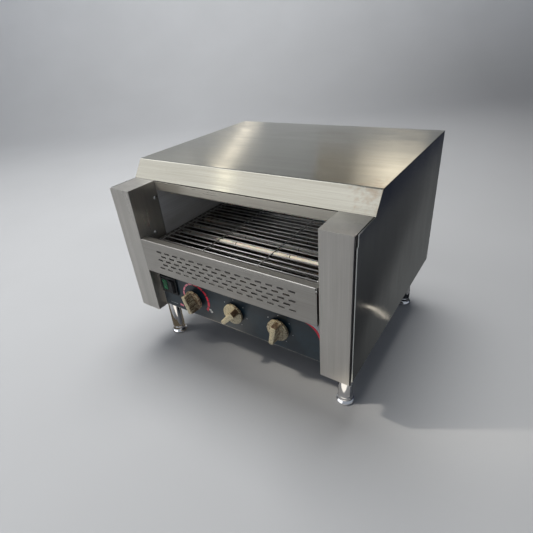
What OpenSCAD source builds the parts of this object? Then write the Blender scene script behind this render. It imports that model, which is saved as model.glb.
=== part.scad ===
// Conveyor toaster: bread rides in over the front guard on a wire belt, passes
// between quartz heaters and slides out at the back.
// The origin is on the floor, below the middle of the whole toaster. +Z is up and
// the controls face -Y. Sizes in the modules below are measured from the front
// plane of the pillars (y = 0) and from the floor (z = 0).

/* [Body] */
// Overall width over the side panels
body_w = 474; // [440:1:570]
// Depth from the front of the pillars to the back of the rear panel
body_d = 422; // [350:1:510]
// Height from the floor to the top of the hood
body_h = 386; // [370:1:470]
// Height of the pillars' lower ends above the floor
leg_h = 100; // [83:1:120]
// Thickness of the outer sheet
shell_t = 1.5; // [1:0.1:2]
// Thickness of the inner sheet
inner_t = 1.2; // [0.8:0.1:1.6]

/* [Front pillars and hood] */
// Width of a front pillar
pillar_w = 50; // [41:1:60]
// Depth of a front pillar
pillar_d = 62; // [55:1:70]
// Gap between a pillar and the side panel that covers it
panel_gap = 1.5; // [0.8:0.1:3]
// How far the side panel's front edge sits behind the pillar's face
panel_setback = 3.5; // [1:0.5:8]
// Height of the hood's sloping front strip
strip_rise = 31; // [20:1:40]
// Run of the hood's sloping front strip
strip_run = 23; // [12:1:35]
// Height of the lintel under the hood
lintel_h = 16; // [10:1:24]

/* [Control panel and front guard] */
// Depth of the fascia's face behind the pillars' face
fascia_setback = 17; // [14:1:22]
// Height of the guard's lower edge above the pillars' lower ends
guard_low = 95; // [92:1:100]
// Height of the guard
guard_h = 68; // [64:1:74]
// Depth of the guard's top shelf
shelf_d = 15; // [10:1:20]
// Slots in a long row of the guard
slot_count = 15; // [5:2:17]
// Distance from one guard slot to the next
slot_pitch = 20; // [16:1:22]
// Length of a guard slot
slot_len = 12; // [8:1:14]
// Height of a guard slot
slot_h = 2.5; // [1.5:0.1:3.5]
// Distance from one row of slots to the next
slot_row_pitch = 8.45; // [6:0.05:9]
// Distance of the top row of slots below the guard's top
slot_drop = 17.7; // [12:0.1:22]
// Height of the knobs' axes above the pillars' lower ends
knob_rise = 49; // [44:1:54]
// Distance of the speed knob's axis left of the middle
speed_knob_left = 86; // [80:1:92]
// Distance from one knob to the next
knob_pitch = 93.5; // [88:0.5:96]

/* [Knobs and switch] */
// Diameter of a knob's disc
knob_d = 40; // [33:1:48]
// Thickness of a knob's disc
knob_disc_t = 5; // [4:0.5:7]
// Width of a knob's grip
grip_w = 11; // [8:0.5:14]
// Height of a knob's grip above its disc
grip_h = 16; // [10:1:20]
// Gap between the fascia and a heat knob
heat_knob_gap = 3; // [3:0.5:6]
// Gap between the fascia and the speed knob
speed_knob_gap = 6; // [3:0.5:8]
// Diameter of a knob's spindle
spindle_d = 6; // [4:0.5:8]
// Width of the power switch's bezel
bezel_w = 43; // [41:1:46]
// Height of the power switch's bezel
bezel_h = 37; // [34:1:40]
// Width of the rocker
rocker_w = 35; // [30:1:36]
// Height of the rocker
rocker_h = 26; // [22:1:28]
// Tilt of the rocker to each side
rocker_tilt = 8; // [5:1:9]

/* [Conveyor] */
// Height of the belt's top above the pillars' lower ends
belt_rise = 150; // [147:1:156]
// Distance from one belt rod to the next
belt_pitch = 13.5; // [11.25:0.25:15]
// Diameter of a belt rod
rod_d = 2.5; // [2:0.1:3]
// Pitches round half a belt wheel
half_wheel_links = 5; // [5:1:5]
// Depth of the front belt shaft behind the pillars' face
front_shaft_y = 36; // [36:0.5:42]
// Diameter of the belt shafts
shaft_d = 10; // [8:0.5:12]
// Radial clearance of a turning shaft in its bush
run_gap = 0.06; // [0.02:0.01:0.1]

/* [Heaters] */
// Diameter of a heater tube
tube_d = 10; // [8:0.5:11]
// Most heater tubes under the belt, as far as there is room
lower_tubes = 7; // [4:1:8]
// Distance between the heater tubes under the belt
lower_tube_pitch = 33; // [27.5:0.5:40]
// Most heater tubes above the belt, as far as there is room
upper_tubes = 5; // [3:1:6]
// Distance between the heater tubes above the belt
upper_tube_pitch = 50; // [30:1:60]

/* [Legs] */
// Diameter of a leg tube
leg_d = 25.4; // [22:0.1:30]
// Wall of a leg tube
leg_wall = 1.5; // [1:0.1:2.5]
// Distance of the legs' axes in from the body's sides
leg_inset = 32; // [28:1:36]
// Depth of the front legs behind the pillars' face
front_leg_y = 55; // [42:1:60]
// Diameter of a foot
foot_d = 33; // [28:1:40]
// Height of the foot below its leg tube
foot_h = 15.5; // [12:0.5:20]
// Travel of a levelling foot
foot_travel = 15; // [5:1:20]

/* [Hidden] */
$fn = 48;

// Clearances
seat = 0.2;          // between sheets that are screwed together
play = 0.4;          // round a piece that moves or drops into place
touch = 0.05;        // between a pin or boss and the bore that it fills
cut = 1;             // how far a cut runs past the face that it opens

// Widths, measured from the middle of the body
half_w = body_w / 2;
panel_in = half_w - shell_t;
pillar_out = panel_in - panel_gap;
chamber = pillar_out - pillar_w;
wall_out = chamber + inner_t;
wall_flange = 10;

// Heights
pillar_top = body_h - strip_rise;
hood_in = body_h - shell_t;
wall_top = hood_in - seat;
panel_low = leg_h + 6;
pan_low = leg_h + 7;
pan_top = pan_low + shell_t;
pan_edge = 15;
fascia_low = pan_low + 2;
shield_low = pan_top + 70.5;
shield_top = shield_low + inner_t;
guard_z = leg_h + guard_low;
guard_top = guard_z + guard_h;
lintel_top = pillar_top - shell_t;
lintel_low = lintel_top - lintel_h;
ledge_z = leg_h + belt_rise;

// Depths
back = body_d;
flange_back = back - shell_t - seat;
back_in = flange_back - inner_t;
wall_front = pillar_d + 0.5;
wall_back = back_in - play - inner_t - seat;
fascia_y = fascia_setback;
fascia_t = 0.8;
panel_y = fascia_y + fascia_t;
panel_back = panel_y + shell_t;
pan_front = panel_back + 16.5;

// Hood's strip: its run per unit of rise, and the sheet measured level across it
hood_slope = (strip_run - seat) / strip_rise;
hood_level_t = shell_t * sqrt(1 + hood_slope * hood_slope);

// Conveyor
wheel_teeth = 2 * half_wheel_links;
belt_r = belt_pitch / (2 * sin(180 / wheel_teeth));
rear_margin = 43;
run_links = floor((back - rear_margin - front_shaft_y) / belt_pitch);
rear_shaft_y = front_shaft_y + run_links * belt_pitch;
belt_top = leg_h + belt_rise;
shaft_z = belt_top - rod_d / 2 - belt_r;
belt_back = rear_shaft_y + belt_r + rod_d / 2;
frame_t = 2;
frame_stand = 3;
frame_out = chamber - frame_stand;
frame_in = frame_out - frame_t;
frame_reach = 13;
frame_top = belt_top - rod_d - 0.3;
frame_flange = 10;
frame_boss_r = 5;
rod_half = frame_in - 4;
link_d = 2;
link_x = [-rod_half + 7, -62, 57, rod_half - 7];
wheel_tip = belt_r - rod_d / 2 - play;
wheel_root = wheel_tip - 4.5;
wheel_w = 6;
wheel_hub_r = 11;
wheel_hub_w = 14;
wheel_inset = 39;
wheel_x = [-frame_in + wheel_inset, 0, frame_in - wheel_inset];
bush_r = 8;
bush_flange_r = 11;
bush_flange_t = 2.5;
tie_r = 4;
tie_y = [front_shaft_y + 43, rear_shaft_y - 34];
tie_half = frame_out - frame_t / 2;

// Heaters
lower_tube_z = belt_top - 18;
upper_tube_z = body_h - 64;
lower_tube_y = front_shaft_y + 70;
upper_tube_y = front_shaft_y + 64;
tube_room = 12;
lower_n = min(lower_tubes, 1 + floor((tie_y[1] - tube_room - lower_tube_y) / lower_tube_pitch));
upper_n = min(upper_tubes, 1 + floor((rear_shaft_y - 30 - upper_tube_y) / upper_tube_pitch));
tube_half = wall_out + 13;
tube_hole_r = tube_d / 2 + 1.2;
holder_t = 12;
holder_size = 16;
reflector_edge = 8;
reflector_margin = 13;

// Chain drive between the gear motor and the rear belt shaft
chain_pitch = 6.35;
motor_teeth = 12;
shaft_teeth = 24;
motor_wheel_r = chain_pitch / (2 * sin(180 / motor_teeth));
shaft_wheel_r = chain_pitch / (2 * sin(180 / shaft_teeth));
chain_x = wall_out + 15;
chain_w = 5;
chain_over = 2.7;
chain_under = -1.3;
chain_tooth_over = -1.7;
chain_tooth_under = -4.2;
chain_tooth_w = 2.8;
chain_hub_w = 12;
motor_y = rear_shaft_y - 38.5;
motor_z = pan_top + 31;
motor_shaft_d = 8;
gearbox_face = chamber - 6;
gearbox_len = 30;
gearbox_half = 28;
motor_r = 26;
motor_len = 66;
motor_shaft_in = 18;

// Controls
knob_z = leg_h + knob_rise;
speed_x = -speed_knob_left;
upper_heat_x = speed_x + knob_pitch;
lower_heat_x = upper_heat_x + knob_pitch;
speed_angle = -70;       // grip angles at rest, from +x towards +z
upper_heat_angle = 45;
lower_heat_angle = 78;
bezel_t = 3;
switch_x = -chamber + 9 + bezel_w / 2;
switch_z = knob_z + 12;
switch_wall = 1.6;
switch_depth = 28;
rocker_pivot_y = fascia_y + 2.5;
rocker_pin_r = 1.5;
rocker_rim = 9.5;        // from the pivot to the rocker's face at its ends
rocker_dip = 6;          // from the pivot to the rocker's face in the middle
rocker_side = 5;
bushing_r = 4.75;
bushing_out = 2.6;
nut_r = 8;
nut_t = 2;
spindle_in = 6;          // how far a spindle reaches into its knob's grip

// Legs and feet
leg_x = half_w - leg_inset;
rear_leg_y = back - 36;
leg_bolt_r = 5;
leg_bolt_len = 18;
leg_plug = 20;
stem_r = 5;
insert_h = 26;
stem_over = 22;          // how far the stem reaches up past the foot's travel
leg_places = [
  [-leg_x, front_leg_y], [leg_x, front_leg_y], [-leg_x, rear_leg_y], [leg_x, rear_leg_y]
];

// Crumb tray
tray_half = chamber - 12;
tray_low = shield_top + 0.5;
tray_h = 15;
tray_t = 1;
tray_front = 69;
tray_back = back + play;
tray_plate_t = 1.5;
tray_plate_over = 6;
tray_plate_low = tray_low - 5;
tray_plate_h = 26;
runner_t = 1.2;
runner_h = 13;
handle_out = 18;
handle_half = 55;
handle_t = 3;
handle_post = 5;
handle_high = 6;
handle_y = tray_back + tray_plate_t;
handle_z = tray_low + 8;

// Screws
screw_r = 2;
screw_head_r = 4;
screw_head_h = 2.4;
frame_screw_y = [front_shaft_y + 55, lower_tube_y + 3.5 * lower_tube_pitch, rear_shaft_y - 21];
frame_screw_z = frame_top - 8.5;
pillar_screws = [[pillar_d - 7, pillar_top - 31], [pillar_d - 25, guard_top - 2]];
rear_screw_x = panel_in - 9;
rear_screw_z = [panel_low + 24, leg_h + 105, leg_h + 180, body_h - 22];

// Supply cord's gland
gland_x = -chamber + 34;
gland_z = pan_top + 32;
gland_r = 10;
gland_bore_r = 5;
gland_in = 12;
gland_out = 10;

// Whole toaster: the foremost point is the speed knob, the rearmost the tray handle
knob_reach = fascia_y - speed_knob_gap - knob_disc_t - grip_h;
rear_reach = handle_y + handle_out;
mid_y = (knob_reach + rear_reach) / 2;

steel = [0.74, 0.74, 0.73];
dark_steel = [0.45, 0.45, 0.46];
bright = [0.85, 0.85, 0.86];
black = [0.08, 0.09, 0.1];
ceramic = [0.93, 0.91, 0.85];
bakelite = [0.72, 0.64, 0.5];
bronze = [0.7, 0.5, 0.25];
paint = [0.35, 0.37, 0.4];
lens = [0.1, 0.5, 0.3];

// ---------- helpers ----------

// moves a piece from the front plane to the toaster's own origin
module placed() {
  translate([0, -mid_y, 0]) children();
}

// the same piece on the left (s = -1) or on the right (s = 1)
module on_side(s) {
  mirror([s < 0 ? 1 : 0, 0, 0]) children();
}

// the same piece on both sides
module both_sides() {
  for (s = [-1, 1]) on_side(s) children();
}

// box between two corners
module box(a, b) {
  translate(a) cube(b - a);
}

// outline in (y, z), extruded along x from x0 to x1
module profile(x0, x1) {
  translate([x0, 0, 0]) rotate([90, 0, 90]) linear_extrude(x1 - x0) children();
}

// cylinder along x
module rod_x(x0, x1, r, y, z) {
  translate([x0, y, z]) rotate([0, 90, 0]) cylinder(r = r, h = x1 - x0);
}

// cylinder along y
module rod_y(y0, y1, r, x, z) {
  translate([x, y0, z]) rotate([-90, 0, 0]) cylinder(r = r, h = y1 - y0);
}

// depth of the hood strip's underside at a height, plus a gap
function hood_under(z, gap) = pillar_d + seat + hood_level_t + gap + (z - pillar_top) * hood_slope;

// pan head screw along +x, with its head's underside at the origin
module screw(len) {
  rotate([0, -90, 0]) cylinder(r = screw_head_r, h = screw_head_h);
  rotate([0, 90, 0]) cylinder(r = screw_r, h = len);
}

// toothed wheel along x, centred on the origin
module toothed_wheel(tip, root, teeth, width, bore, hub_r, hub_w) {
  overlap = 1;
  tooth_root = PI * root / teeth;
  tooth_tip = tooth_root * 0.4;
  rotate([90, 0, 90]) difference() {
    union() {
      linear_extrude(width, center = true) union() {
        circle(r = root);
        for (i = [0:teeth - 1]) rotate(i * 360 / teeth)
          polygon([
            [root - overlap, -tooth_root / 2], [tip, -tooth_tip / 2],
            [tip, tooth_tip / 2], [root - overlap, tooth_root / 2]
          ]);
      }
      cylinder(r = hub_r, h = hub_w, center = true);
    }
    cylinder(r = bore, h = hub_w + 2 * cut, center = true);
  }
}

// holes for the heater tubes through both sides
module tube_holes(n, first_y, pitch, z) {
  for (i = [0:n - 1]) rod_x(-half_w, half_w, tube_hole_r, first_y + i * pitch, z);
}

// ---------- shell ----------

// floor plate with turned-up edges, slit where the pillars pass down through it
module base_pan() color(dark_steel) placed() {
  side = panel_in - seat;
  inner_edge = wall_out + play;
  outer_edge = pillar_out - shell_t - play;
  slit_d = 2 * (pillar_d + play);
  slit_h = 4 * shell_t;
  difference() {
    union() {
      box([-side, pan_front, pan_low], [side, back_in, pan_top]);
      box([-side, back_in - inner_t, pan_low], [side, back_in, pan_top + pan_edge]);
      both_sides() {
        box([inner_edge, shell_t + play, pan_low], [outer_edge, pan_front + cut, pan_top]);
        box([side - inner_t, pillar_d, pan_low], [side, back_in, pan_top + pan_edge]);
      }
    }
    both_sides() {
      translate([chamber + inner_t / 2, 0, pan_low])
        cube([inner_t + 2 * play, slit_d, slit_h], center = true);
      box([outer_edge, -cut, pan_low - cut], [half_w, pillar_d + play, pan_top + pan_edge + cut]);
    }
    for (p = leg_places) translate([p[0], p[1], pan_low - cut])
      cylinder(r = leg_bolt_r + touch, h = shell_t + 2 * cut);
  }
}

// wall of the toasting chamber, with a strip in front that laps the pillar's inner side
module inner_wall(s) {
  lap_front = pillar_d - 32;
  lap_x = wall_out + touch;
  lap_end = wall_front + 4;
  lap_low = leg_h + 20;
  lap_top = pillar_top - 5;
  flange_x = wall_out + wall_flange;
  foot_z = pan_top + seat;
  bore_gap = 2;
  difference() {
    on_side(s) {
      box([chamber, wall_front, foot_z], [wall_out, wall_back, wall_top]);
      box([chamber, wall_front, foot_z], [flange_x, wall_back, foot_z + inner_t]);
      box([chamber, hood_under(wall_top, play) + cut, wall_top - inner_t], [flange_x, wall_back, wall_top]);
      box([chamber, wall_front, lap_low], [lap_x + inner_t, lap_end, lap_top]);
      box([lap_x, lap_front, lap_low], [lap_x + inner_t, lap_end, lap_top]);
    }
    // the hood's strip leans back over the wall's front corner
    profile(-half_w, half_w) polygon([
      [0, pillar_top - seat], [hood_under(pillar_top - seat, play), pillar_top - seat],
      [hood_under(body_h, play), body_h], [0, body_h]
    ]);
    tube_holes(lower_n, lower_tube_y, lower_tube_pitch, lower_tube_z);
    tube_holes(upper_n, upper_tube_y, upper_tube_pitch, upper_tube_z);
    for (y = frame_screw_y) rod_x(-half_w, half_w, screw_r + play, y, frame_screw_z);
    for (p = pillar_screws) rod_x(-half_w, half_w, screw_r + play, p[0], p[1]);
    if (s > 0) {
      rod_x(0, half_w, shaft_d / 2 + bore_gap, rear_shaft_y, shaft_z);
      rod_x(0, half_w, motor_shaft_d / 2 + bore_gap, motor_y, motor_z);
    }
  }
}

module left_inner_wall() color(steel) placed() inner_wall(-1);
module right_inner_wall() color(steel) placed() inner_wall(1);

// outer side sheet with a rear flange; its front top corner is relieved
module side_panel(s) {
  relief = 2.5;
  relief_h = 17;
  flange_w = 20;
  top = hood_in - seat;
  shoulder = pillar_top - seat;
  on_side(s) {
    profile(panel_in, half_w) polygon([
      [panel_setback, panel_low], [panel_setback, pillar_top - relief_h],
      [panel_setback + relief, pillar_top - relief_h], [panel_setback + relief, shoulder],
      [hood_under(shoulder, seat), shoulder], [hood_under(top, seat), top],
      [back, top], [back, panel_low]
    ]);
    difference() {
      box([panel_in - flange_w, back_in, panel_low], [panel_in + cut / 2, flange_back, top - wall_flange]);
      for (z = rear_screw_z) rod_y(back_in - cut, back, screw_r + touch, rear_screw_x, z);
    }
  }
}

module left_side_panel() color(steel) placed() side_panel(-1);
module right_side_panel() color(steel) placed() side_panel(1);

// folded channel with a capped top, open at the back and below
module front_pillar(s) {
  side_d = 24;
  difference() {
    on_side(s) {
      box([chamber, 0, leg_h], [pillar_out, inner_t, pillar_top]);
      box([chamber, 0, leg_h], [wall_out, pillar_d, pillar_top]);
      box([pillar_out - inner_t, 0, leg_h], [pillar_out, side_d, pillar_top]);
      box([chamber, 0, pillar_top - inner_t], [pillar_out, pillar_d, pillar_top]);
      box([pillar_out - inner_t, 0, pillar_top - side_d], [pillar_out, pillar_d, pillar_top]);
    }
    for (p = pillar_screws) rod_x(-half_w, half_w, screw_r + play, p[0], p[1]);
  }
}

module left_front_pillar() color(steel) placed() front_pillar(-1);
module right_front_pillar() color(steel) placed() front_pillar(1);

// one folded sheet: sloping front strip, flat top and a short rear turn-down
module hood() color(bright) placed() {
  turn_down = 14;
  turn_half = panel_in - 22;
  turn_back = back_in - play;
  profile(-half_w, half_w) polygon([
    [pillar_d + seat, pillar_top], [pillar_d + strip_run, body_h], [back, body_h],
    [back, hood_in], [hood_under(hood_in, 0), hood_in], [hood_under(pillar_top, 0), pillar_top]
  ]);
  box([-turn_half, turn_back - inner_t, body_h - turn_down], [turn_half, turn_back, body_h - shell_t / 2]);
}

// folded angle that closes the front of the chamber under the hood
module front_lintel() color(bright) placed() {
  lip = 18;
  face = pillar_d - cut;
  profile(-chamber + seat, chamber - seat) polygon([
    [face, lintel_low], [face + lip, lintel_low], [face + lip, lintel_low + inner_t],
    [face + inner_t, lintel_low + inner_t], [face + inner_t, lintel_top], [face, lintel_top]
  ]);
}

// slotted guard with a shelf, a step down to the feed ledge and a bottom return
module front_guard() color(steel) placed() {
  half = chamber - 0.5;
  right_gap = 2.5;
  right = half - right_gap;
  ledge_d = 13;
  inset = 0.5;
  ear_d = pillar_d - 30;
  ear_h = 6;
  notch_w = 2;
  notch_h = 9;
  return_d = fascia_y - 0.3;
  difference() {
    union() {
      profile(-half, right) polygon([
        [0, guard_z], [return_d, guard_z], [return_d, guard_z + inner_t],
        [inner_t, guard_z + inner_t], [inner_t, guard_top - inner_t],
        [shelf_d - inner_t, guard_top - inner_t], [shelf_d - inner_t, ledge_z - inner_t],
        [shelf_d + ledge_d, ledge_z - inner_t], [shelf_d + ledge_d, ledge_z],
        [shelf_d, ledge_z], [shelf_d, guard_top], [0, guard_top]
      ]);
      // end cheeks, and ears that lap the pillars behind the shelf
      for (x = [-half, right - inner_t])
        box([x, inset, guard_z + inset], [x + inner_t, shelf_d, guard_top - inset]);
      box([-half - seat, shelf_d - inner_t, guard_top - ear_h],
          [-half + inner_t, ear_d, guard_top - inner_t]);
      box([right - inner_t, shelf_d - inner_t, guard_top - ear_h],
          [half + seat, ear_d, guard_top - inner_t]);
    }
    for (row = [0:4]) {
      n = row % 2 == 0 ? slot_count : slot_count - 1;
      for (i = [0:n - 1])
        translate([(i - (n - 1) / 2) * slot_pitch, 0, guard_top - slot_drop - row * slot_row_pitch])
          cube([slot_len, 3 * inner_t, slot_h], center = true);
    }
    // relief at the guard's right end
    box([right - notch_w, -cut, guard_top - notch_h], [half + cut, inner_t + touch, guard_top + cut]);
  }
}

// holes for the controls' bushings and the power switch
module control_holes() {
  opening = 2 * (switch_wall + play);
  for (x = [speed_x, upper_heat_x, lower_heat_x])
    rod_y(fascia_y - cut, panel_back + cut, bushing_r + touch, x, knob_z);
  translate([switch_x, panel_y, switch_z])
    cube([rocker_w + opening, 4 * (fascia_t + shell_t), rocker_h + opening], center = true);
}

// steel panel that carries the controls, with a return along its lower edge
module control_panel() color(steel) placed() {
  half = chamber - 0.4;
  lap = 11;
  difference() {
    union() {
      box([-half, panel_y, pan_low], [half, panel_back, guard_z + lap]);
      box([-half, panel_y, pan_low], [half, pan_front - play, pan_top]);
    }
    control_holes();
  }
}

// black overlay on the control panel
module control_fascia() color(black) placed() {
  left_margin = 8;
  right_margin = 0.8;
  gap = 0.02;
  top_gap = 0.5;
  difference() {
    box([-chamber + left_margin, fascia_y, fascia_low],
        [chamber - right_margin, panel_y - gap, guard_z - top_gap]);
    control_holes();
  }
}

// rear sheet with the toast outlet, the tray's slot, vents and the gland's hole
module rear_panel() color(steel) placed() {
  side = panel_in - 0.3;
  out_half = chamber - 6;
  out_low = belt_top - 20;
  out_top = lintel_low - 6;
  tray_gap = 2;
  vent_n = 9;
  vent_pitch = 9;
  vent_w = 4;
  vent_h = 34;
  vent_x = 100;
  vent_z = pan_top + 38;
  difference() {
    box([-side, back - shell_t, panel_low], [side, back, hood_in - 2 * seat]);
    box([-out_half, back_in, out_low], [out_half, back + cut, out_top]);
    box([-tray_half - tray_gap, back_in, shield_low - cut],
        [tray_half + tray_gap, back + cut, tray_low + tray_h + tray_gap]);
    for (i = [0:vent_n - 1], s = [-1, 1])
      translate([s * vent_x + (i - (vent_n - 1) / 2) * vent_pitch, back, vent_z])
        cube([vent_w, 4 * shell_t, vent_h], center = true);
    rod_y(back_in, back + cut, gland_r + touch, gland_x, gland_z);
    both_sides() for (z = rear_screw_z) rod_y(back_in, back + cut, screw_r + touch, rear_screw_x, z);
  }
}

// sloping plate that lets the toast slide from the belt's end out of the outlet
module discharge_slide() color(bright) placed() {
  start = belt_back + 2.2;
  start_z = belt_top - 10;
  end_z = belt_top - 20.5;
  low = belt_top - 39;
  under = inner_t * 1.2;
  half = chamber - 4;
  profile(-half, half) polygon([
    [start, start_z], [flange_back, end_z], [flange_back, low], [back_in, low],
    [back_in, end_z - under], [start, start_z - under]
  ]);
}

// floor of the chamber, over the electrics
module heat_shield() color(dark_steel) placed() {
  half = chamber - 0.3;
  edge_h = 10;
  shield_back = back_in - seat;
  box([-half, panel_back + seat, shield_low], [half, shield_back, shield_top]);
  both_sides()
    box([half - inner_t, wall_front, shield_low - edge_h], [half, shield_back, shield_low + inner_t / 2]);
}

// angle strips on the heat shield that guide the crumb tray
module tray_runners() color(steel) placed() {
  y0 = tray_front - 3;
  y1 = back_in - cut;
  z = shield_top + touch;
  both_sides() {
    box([tray_half + play, y0, z], [tray_half + play + runner_t, y1, z + runner_h]);
    box([tray_half + play, y0, z], [chamber - 0.5, y1, z + inner_t]);
  }
}

// ---------- heating ----------

module upper_reflector() color(bright) placed() {
  half = chamber - 0.3;
  z = upper_tube_z + 20;
  y0 = pillar_d + 22;
  y1 = upper_tube_y + (upper_n - 1) * upper_tube_pitch + 60;
  curtain = 14;
  flange = 12;
  box([-half, y0, z], [half, y1, z + inner_t]);
  box([-half, y1 - inner_t, z - curtain], [half, y1, z + inner_t]);
  both_sides() box([half - inner_t, y0, z], [half, y1, z + flange]);
}

module lower_reflector() color(bright) placed() {
  half = frame_in - 0.3;
  z = shaft_z - belt_r + rod_d / 2 + 5.7;
  y0 = lower_tube_y - reflector_margin;
  y1 = lower_tube_y + (lower_n - 1) * lower_tube_pitch + reflector_margin;
  box([-half, y0, z], [half, y1, z + inner_t]);
  for (y = [y0, y1 - inner_t]) box([-half, y, z], [half, y + inner_t, z + reflector_edge]);
}

// row of quartz tubes across the chamber
module heater_tubes(n, first_y, pitch, z) {
  for (i = [0:n - 1]) rod_x(-tube_half, tube_half, tube_d / 2, first_y + i * pitch, z);
}

module upper_heater_tubes() color("white") placed()
  heater_tubes(upper_n, upper_tube_y, upper_tube_pitch, upper_tube_z);

module lower_heater_tubes() color("white") placed()
  heater_tubes(lower_n, lower_tube_y, lower_tube_pitch, lower_tube_z);

// ceramic block on the outside of a wall, round one end of a tube
module tube_holder(s, y, z) {
  x = s * (wall_out + seat + holder_t / 2);
  difference() {
    translate([x, y, z]) cube([holder_t, holder_size, holder_size], center = true);
    rod_x(x - holder_t, x + holder_t, tube_d / 2 + seat, y, z);
  }
}

module tube_holders() color(ceramic) placed() {
  for (s = [-1, 1]) {
    for (i = [0:lower_n - 1]) tube_holder(s, lower_tube_y + i * lower_tube_pitch, lower_tube_z);
    for (i = [0:upper_n - 1]) tube_holder(s, upper_tube_y + i * upper_tube_pitch, upper_tube_z);
  }
}

// ---------- conveyor ----------

// side plate of the belt's frame: bushes, tube holes and a flange under the rods' ends
module belt_frame(s) {
  flange_in = 8;
  difference() {
    on_side(s) {
      box([frame_in, front_shaft_y - frame_reach, shaft_z - frame_reach],
          [frame_out, rear_shaft_y + frame_reach, frame_top]);
      box([frame_in - frame_flange, front_shaft_y + flange_in, frame_top - frame_t],
          [frame_out, rear_shaft_y - flange_in, frame_top]);
      for (y = frame_screw_y) rod_x(frame_out - cut / 2, chamber - touch, frame_boss_r, y, frame_screw_z);
    }
    for (y = [front_shaft_y, rear_shaft_y]) rod_x(-half_w, half_w, bush_r + touch, y, shaft_z);
    tube_holes(lower_n, lower_tube_y, lower_tube_pitch, lower_tube_z);
    for (y = frame_screw_y) rod_x(-half_w, half_w, screw_r + touch, y, frame_screw_z);
    for (y = tie_y) rod_x(-tie_half, tie_half, tie_r + touch, y, shaft_z);
  }
}

module belt_frame_left() color(steel) placed() belt_frame(-1);
module belt_frame_right() color(steel) placed() belt_frame(1);

// round bars that hold the two frame plates apart
module belt_frame_ties() color(steel) placed() {
  for (y = tie_y) rod_x(-tie_half + touch, tie_half - touch, tie_r, y, shaft_z);
}

// flanged bushes of the two belt shafts
module shaft_bushes() color(bronze) placed() {
  both_sides() for (y = [front_shaft_y, rear_shaft_y]) difference() {
    union() {
      rod_x(frame_in - frame_t / 4, chamber - cut, bush_r, y, shaft_z);
      rod_x(frame_in - bush_flange_t - touch, frame_in - touch, bush_flange_r, y, shaft_z);
    }
    rod_x(0, half_w, shaft_d / 2 + run_gap, y, shaft_z);
  }
}

// place of a rod on the belt's loop, as [y, z], counted in pitches from the front wheel's top
function belt_point(i) =
  i <= run_links ? [front_shaft_y + i * belt_pitch, shaft_z + belt_r]
  : i <= run_links + half_wheel_links
    ? let (a = (i - run_links) * 180 / half_wheel_links)
      [rear_shaft_y + belt_r * sin(a), shaft_z + belt_r * cos(a)]
  : i <= 2 * run_links + half_wheel_links
    ? [rear_shaft_y - (i - run_links - half_wheel_links) * belt_pitch, shaft_z - belt_r]
  : let (a = (i - 2 * run_links - half_wheel_links) * 180 / half_wheel_links)
    [front_shaft_y - belt_r * sin(a), shaft_z - belt_r * cos(a)];

// wire belt: cross rods joined by rows of short links
module conveyor_belt() color(bright) placed() {
  total = 2 * run_links + 2 * half_wheel_links;
  for (i = [0:total - 1]) {
    p = belt_point(i);
    q = belt_point((i + 1) % total);
    rod_x(-rod_half, rod_half, rod_d / 2, p[0], p[1]);
    for (x = link_x) translate([x, p[0], p[1]])
      rotate([-90 + atan2(q[1] - p[1], q[0] - p[0]), 0, 0])
        cylinder(r = link_d / 2, h = norm(q - p));
  }
}

module drive_shaft() color(bright) placed() {
  flat = 0.6;
  end_x = chain_x + 10;
  difference() {
    rod_x(-chamber + bush_flange_t, end_x, shaft_d / 2, rear_shaft_y, shaft_z);
    // flat that the chain wheel's set screw bears on
    box([chain_x - chain_hub_w / 2, rear_shaft_y - shaft_d, shaft_z + shaft_d / 2 - flat],
        [end_x + cut, rear_shaft_y + shaft_d, shaft_z + shaft_d]);
  }
}

module idler_shaft() color(bright) placed()
  rod_x(-chamber + bush_flange_t, chamber - bush_flange_t, shaft_d / 2, front_shaft_y, shaft_z);

// the three wheels of a belt shaft, each with a tooth gap at the belt's top
module belt_wheels(y) {
  for (x = wheel_x) translate([x, y, shaft_z]) rotate([180 / wheel_teeth, 0, 0])
    toothed_wheel(wheel_tip, wheel_root, wheel_teeth, wheel_w, shaft_d / 2 + touch, wheel_hub_r, wheel_hub_w);
}

module drive_belt_wheels() color(dark_steel) placed() belt_wheels(rear_shaft_y);
module idler_belt_wheels() color(dark_steel) placed() belt_wheels(front_shaft_y);

module chain_wheel(pitch_r, teeth, bore, hub_r) {
  toothed_wheel(pitch_r + chain_tooth_over, pitch_r + chain_tooth_under, teeth, chain_tooth_w,
                bore, hub_r, chain_hub_w);
}

module driven_chain_wheel() color(dark_steel) placed()
  translate([chain_x, rear_shaft_y, shaft_z])
    chain_wheel(shaft_wheel_r, shaft_teeth, shaft_d / 2 + touch, 2 * shaft_d / 2);

// the motor's chain wheel in one with the output shaft
module motor_chain_wheel() color(dark_steel) placed() {
  shaft_r = motor_shaft_d / 2;
  translate([chain_x, motor_y, motor_z])
    chain_wheel(motor_wheel_r, motor_teeth, shaft_r - 0.5, shaft_r + 3.6);
  rod_x(gearbox_face - motor_shaft_in, chain_x + chain_hub_w / 2 + 2, shaft_r, motor_y, motor_z);
}

// chain loop round the motor's wheel and the rear shaft's wheel
module drive_chain() color(dark_steel) placed()
  translate([chain_x - chain_w / 2, 0, 0]) rotate([90, 0, 90]) linear_extrude(chain_w) difference() {
    polygon(chain_outline(chain_over));
    polygon(chain_outline(chain_under));
  }

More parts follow.
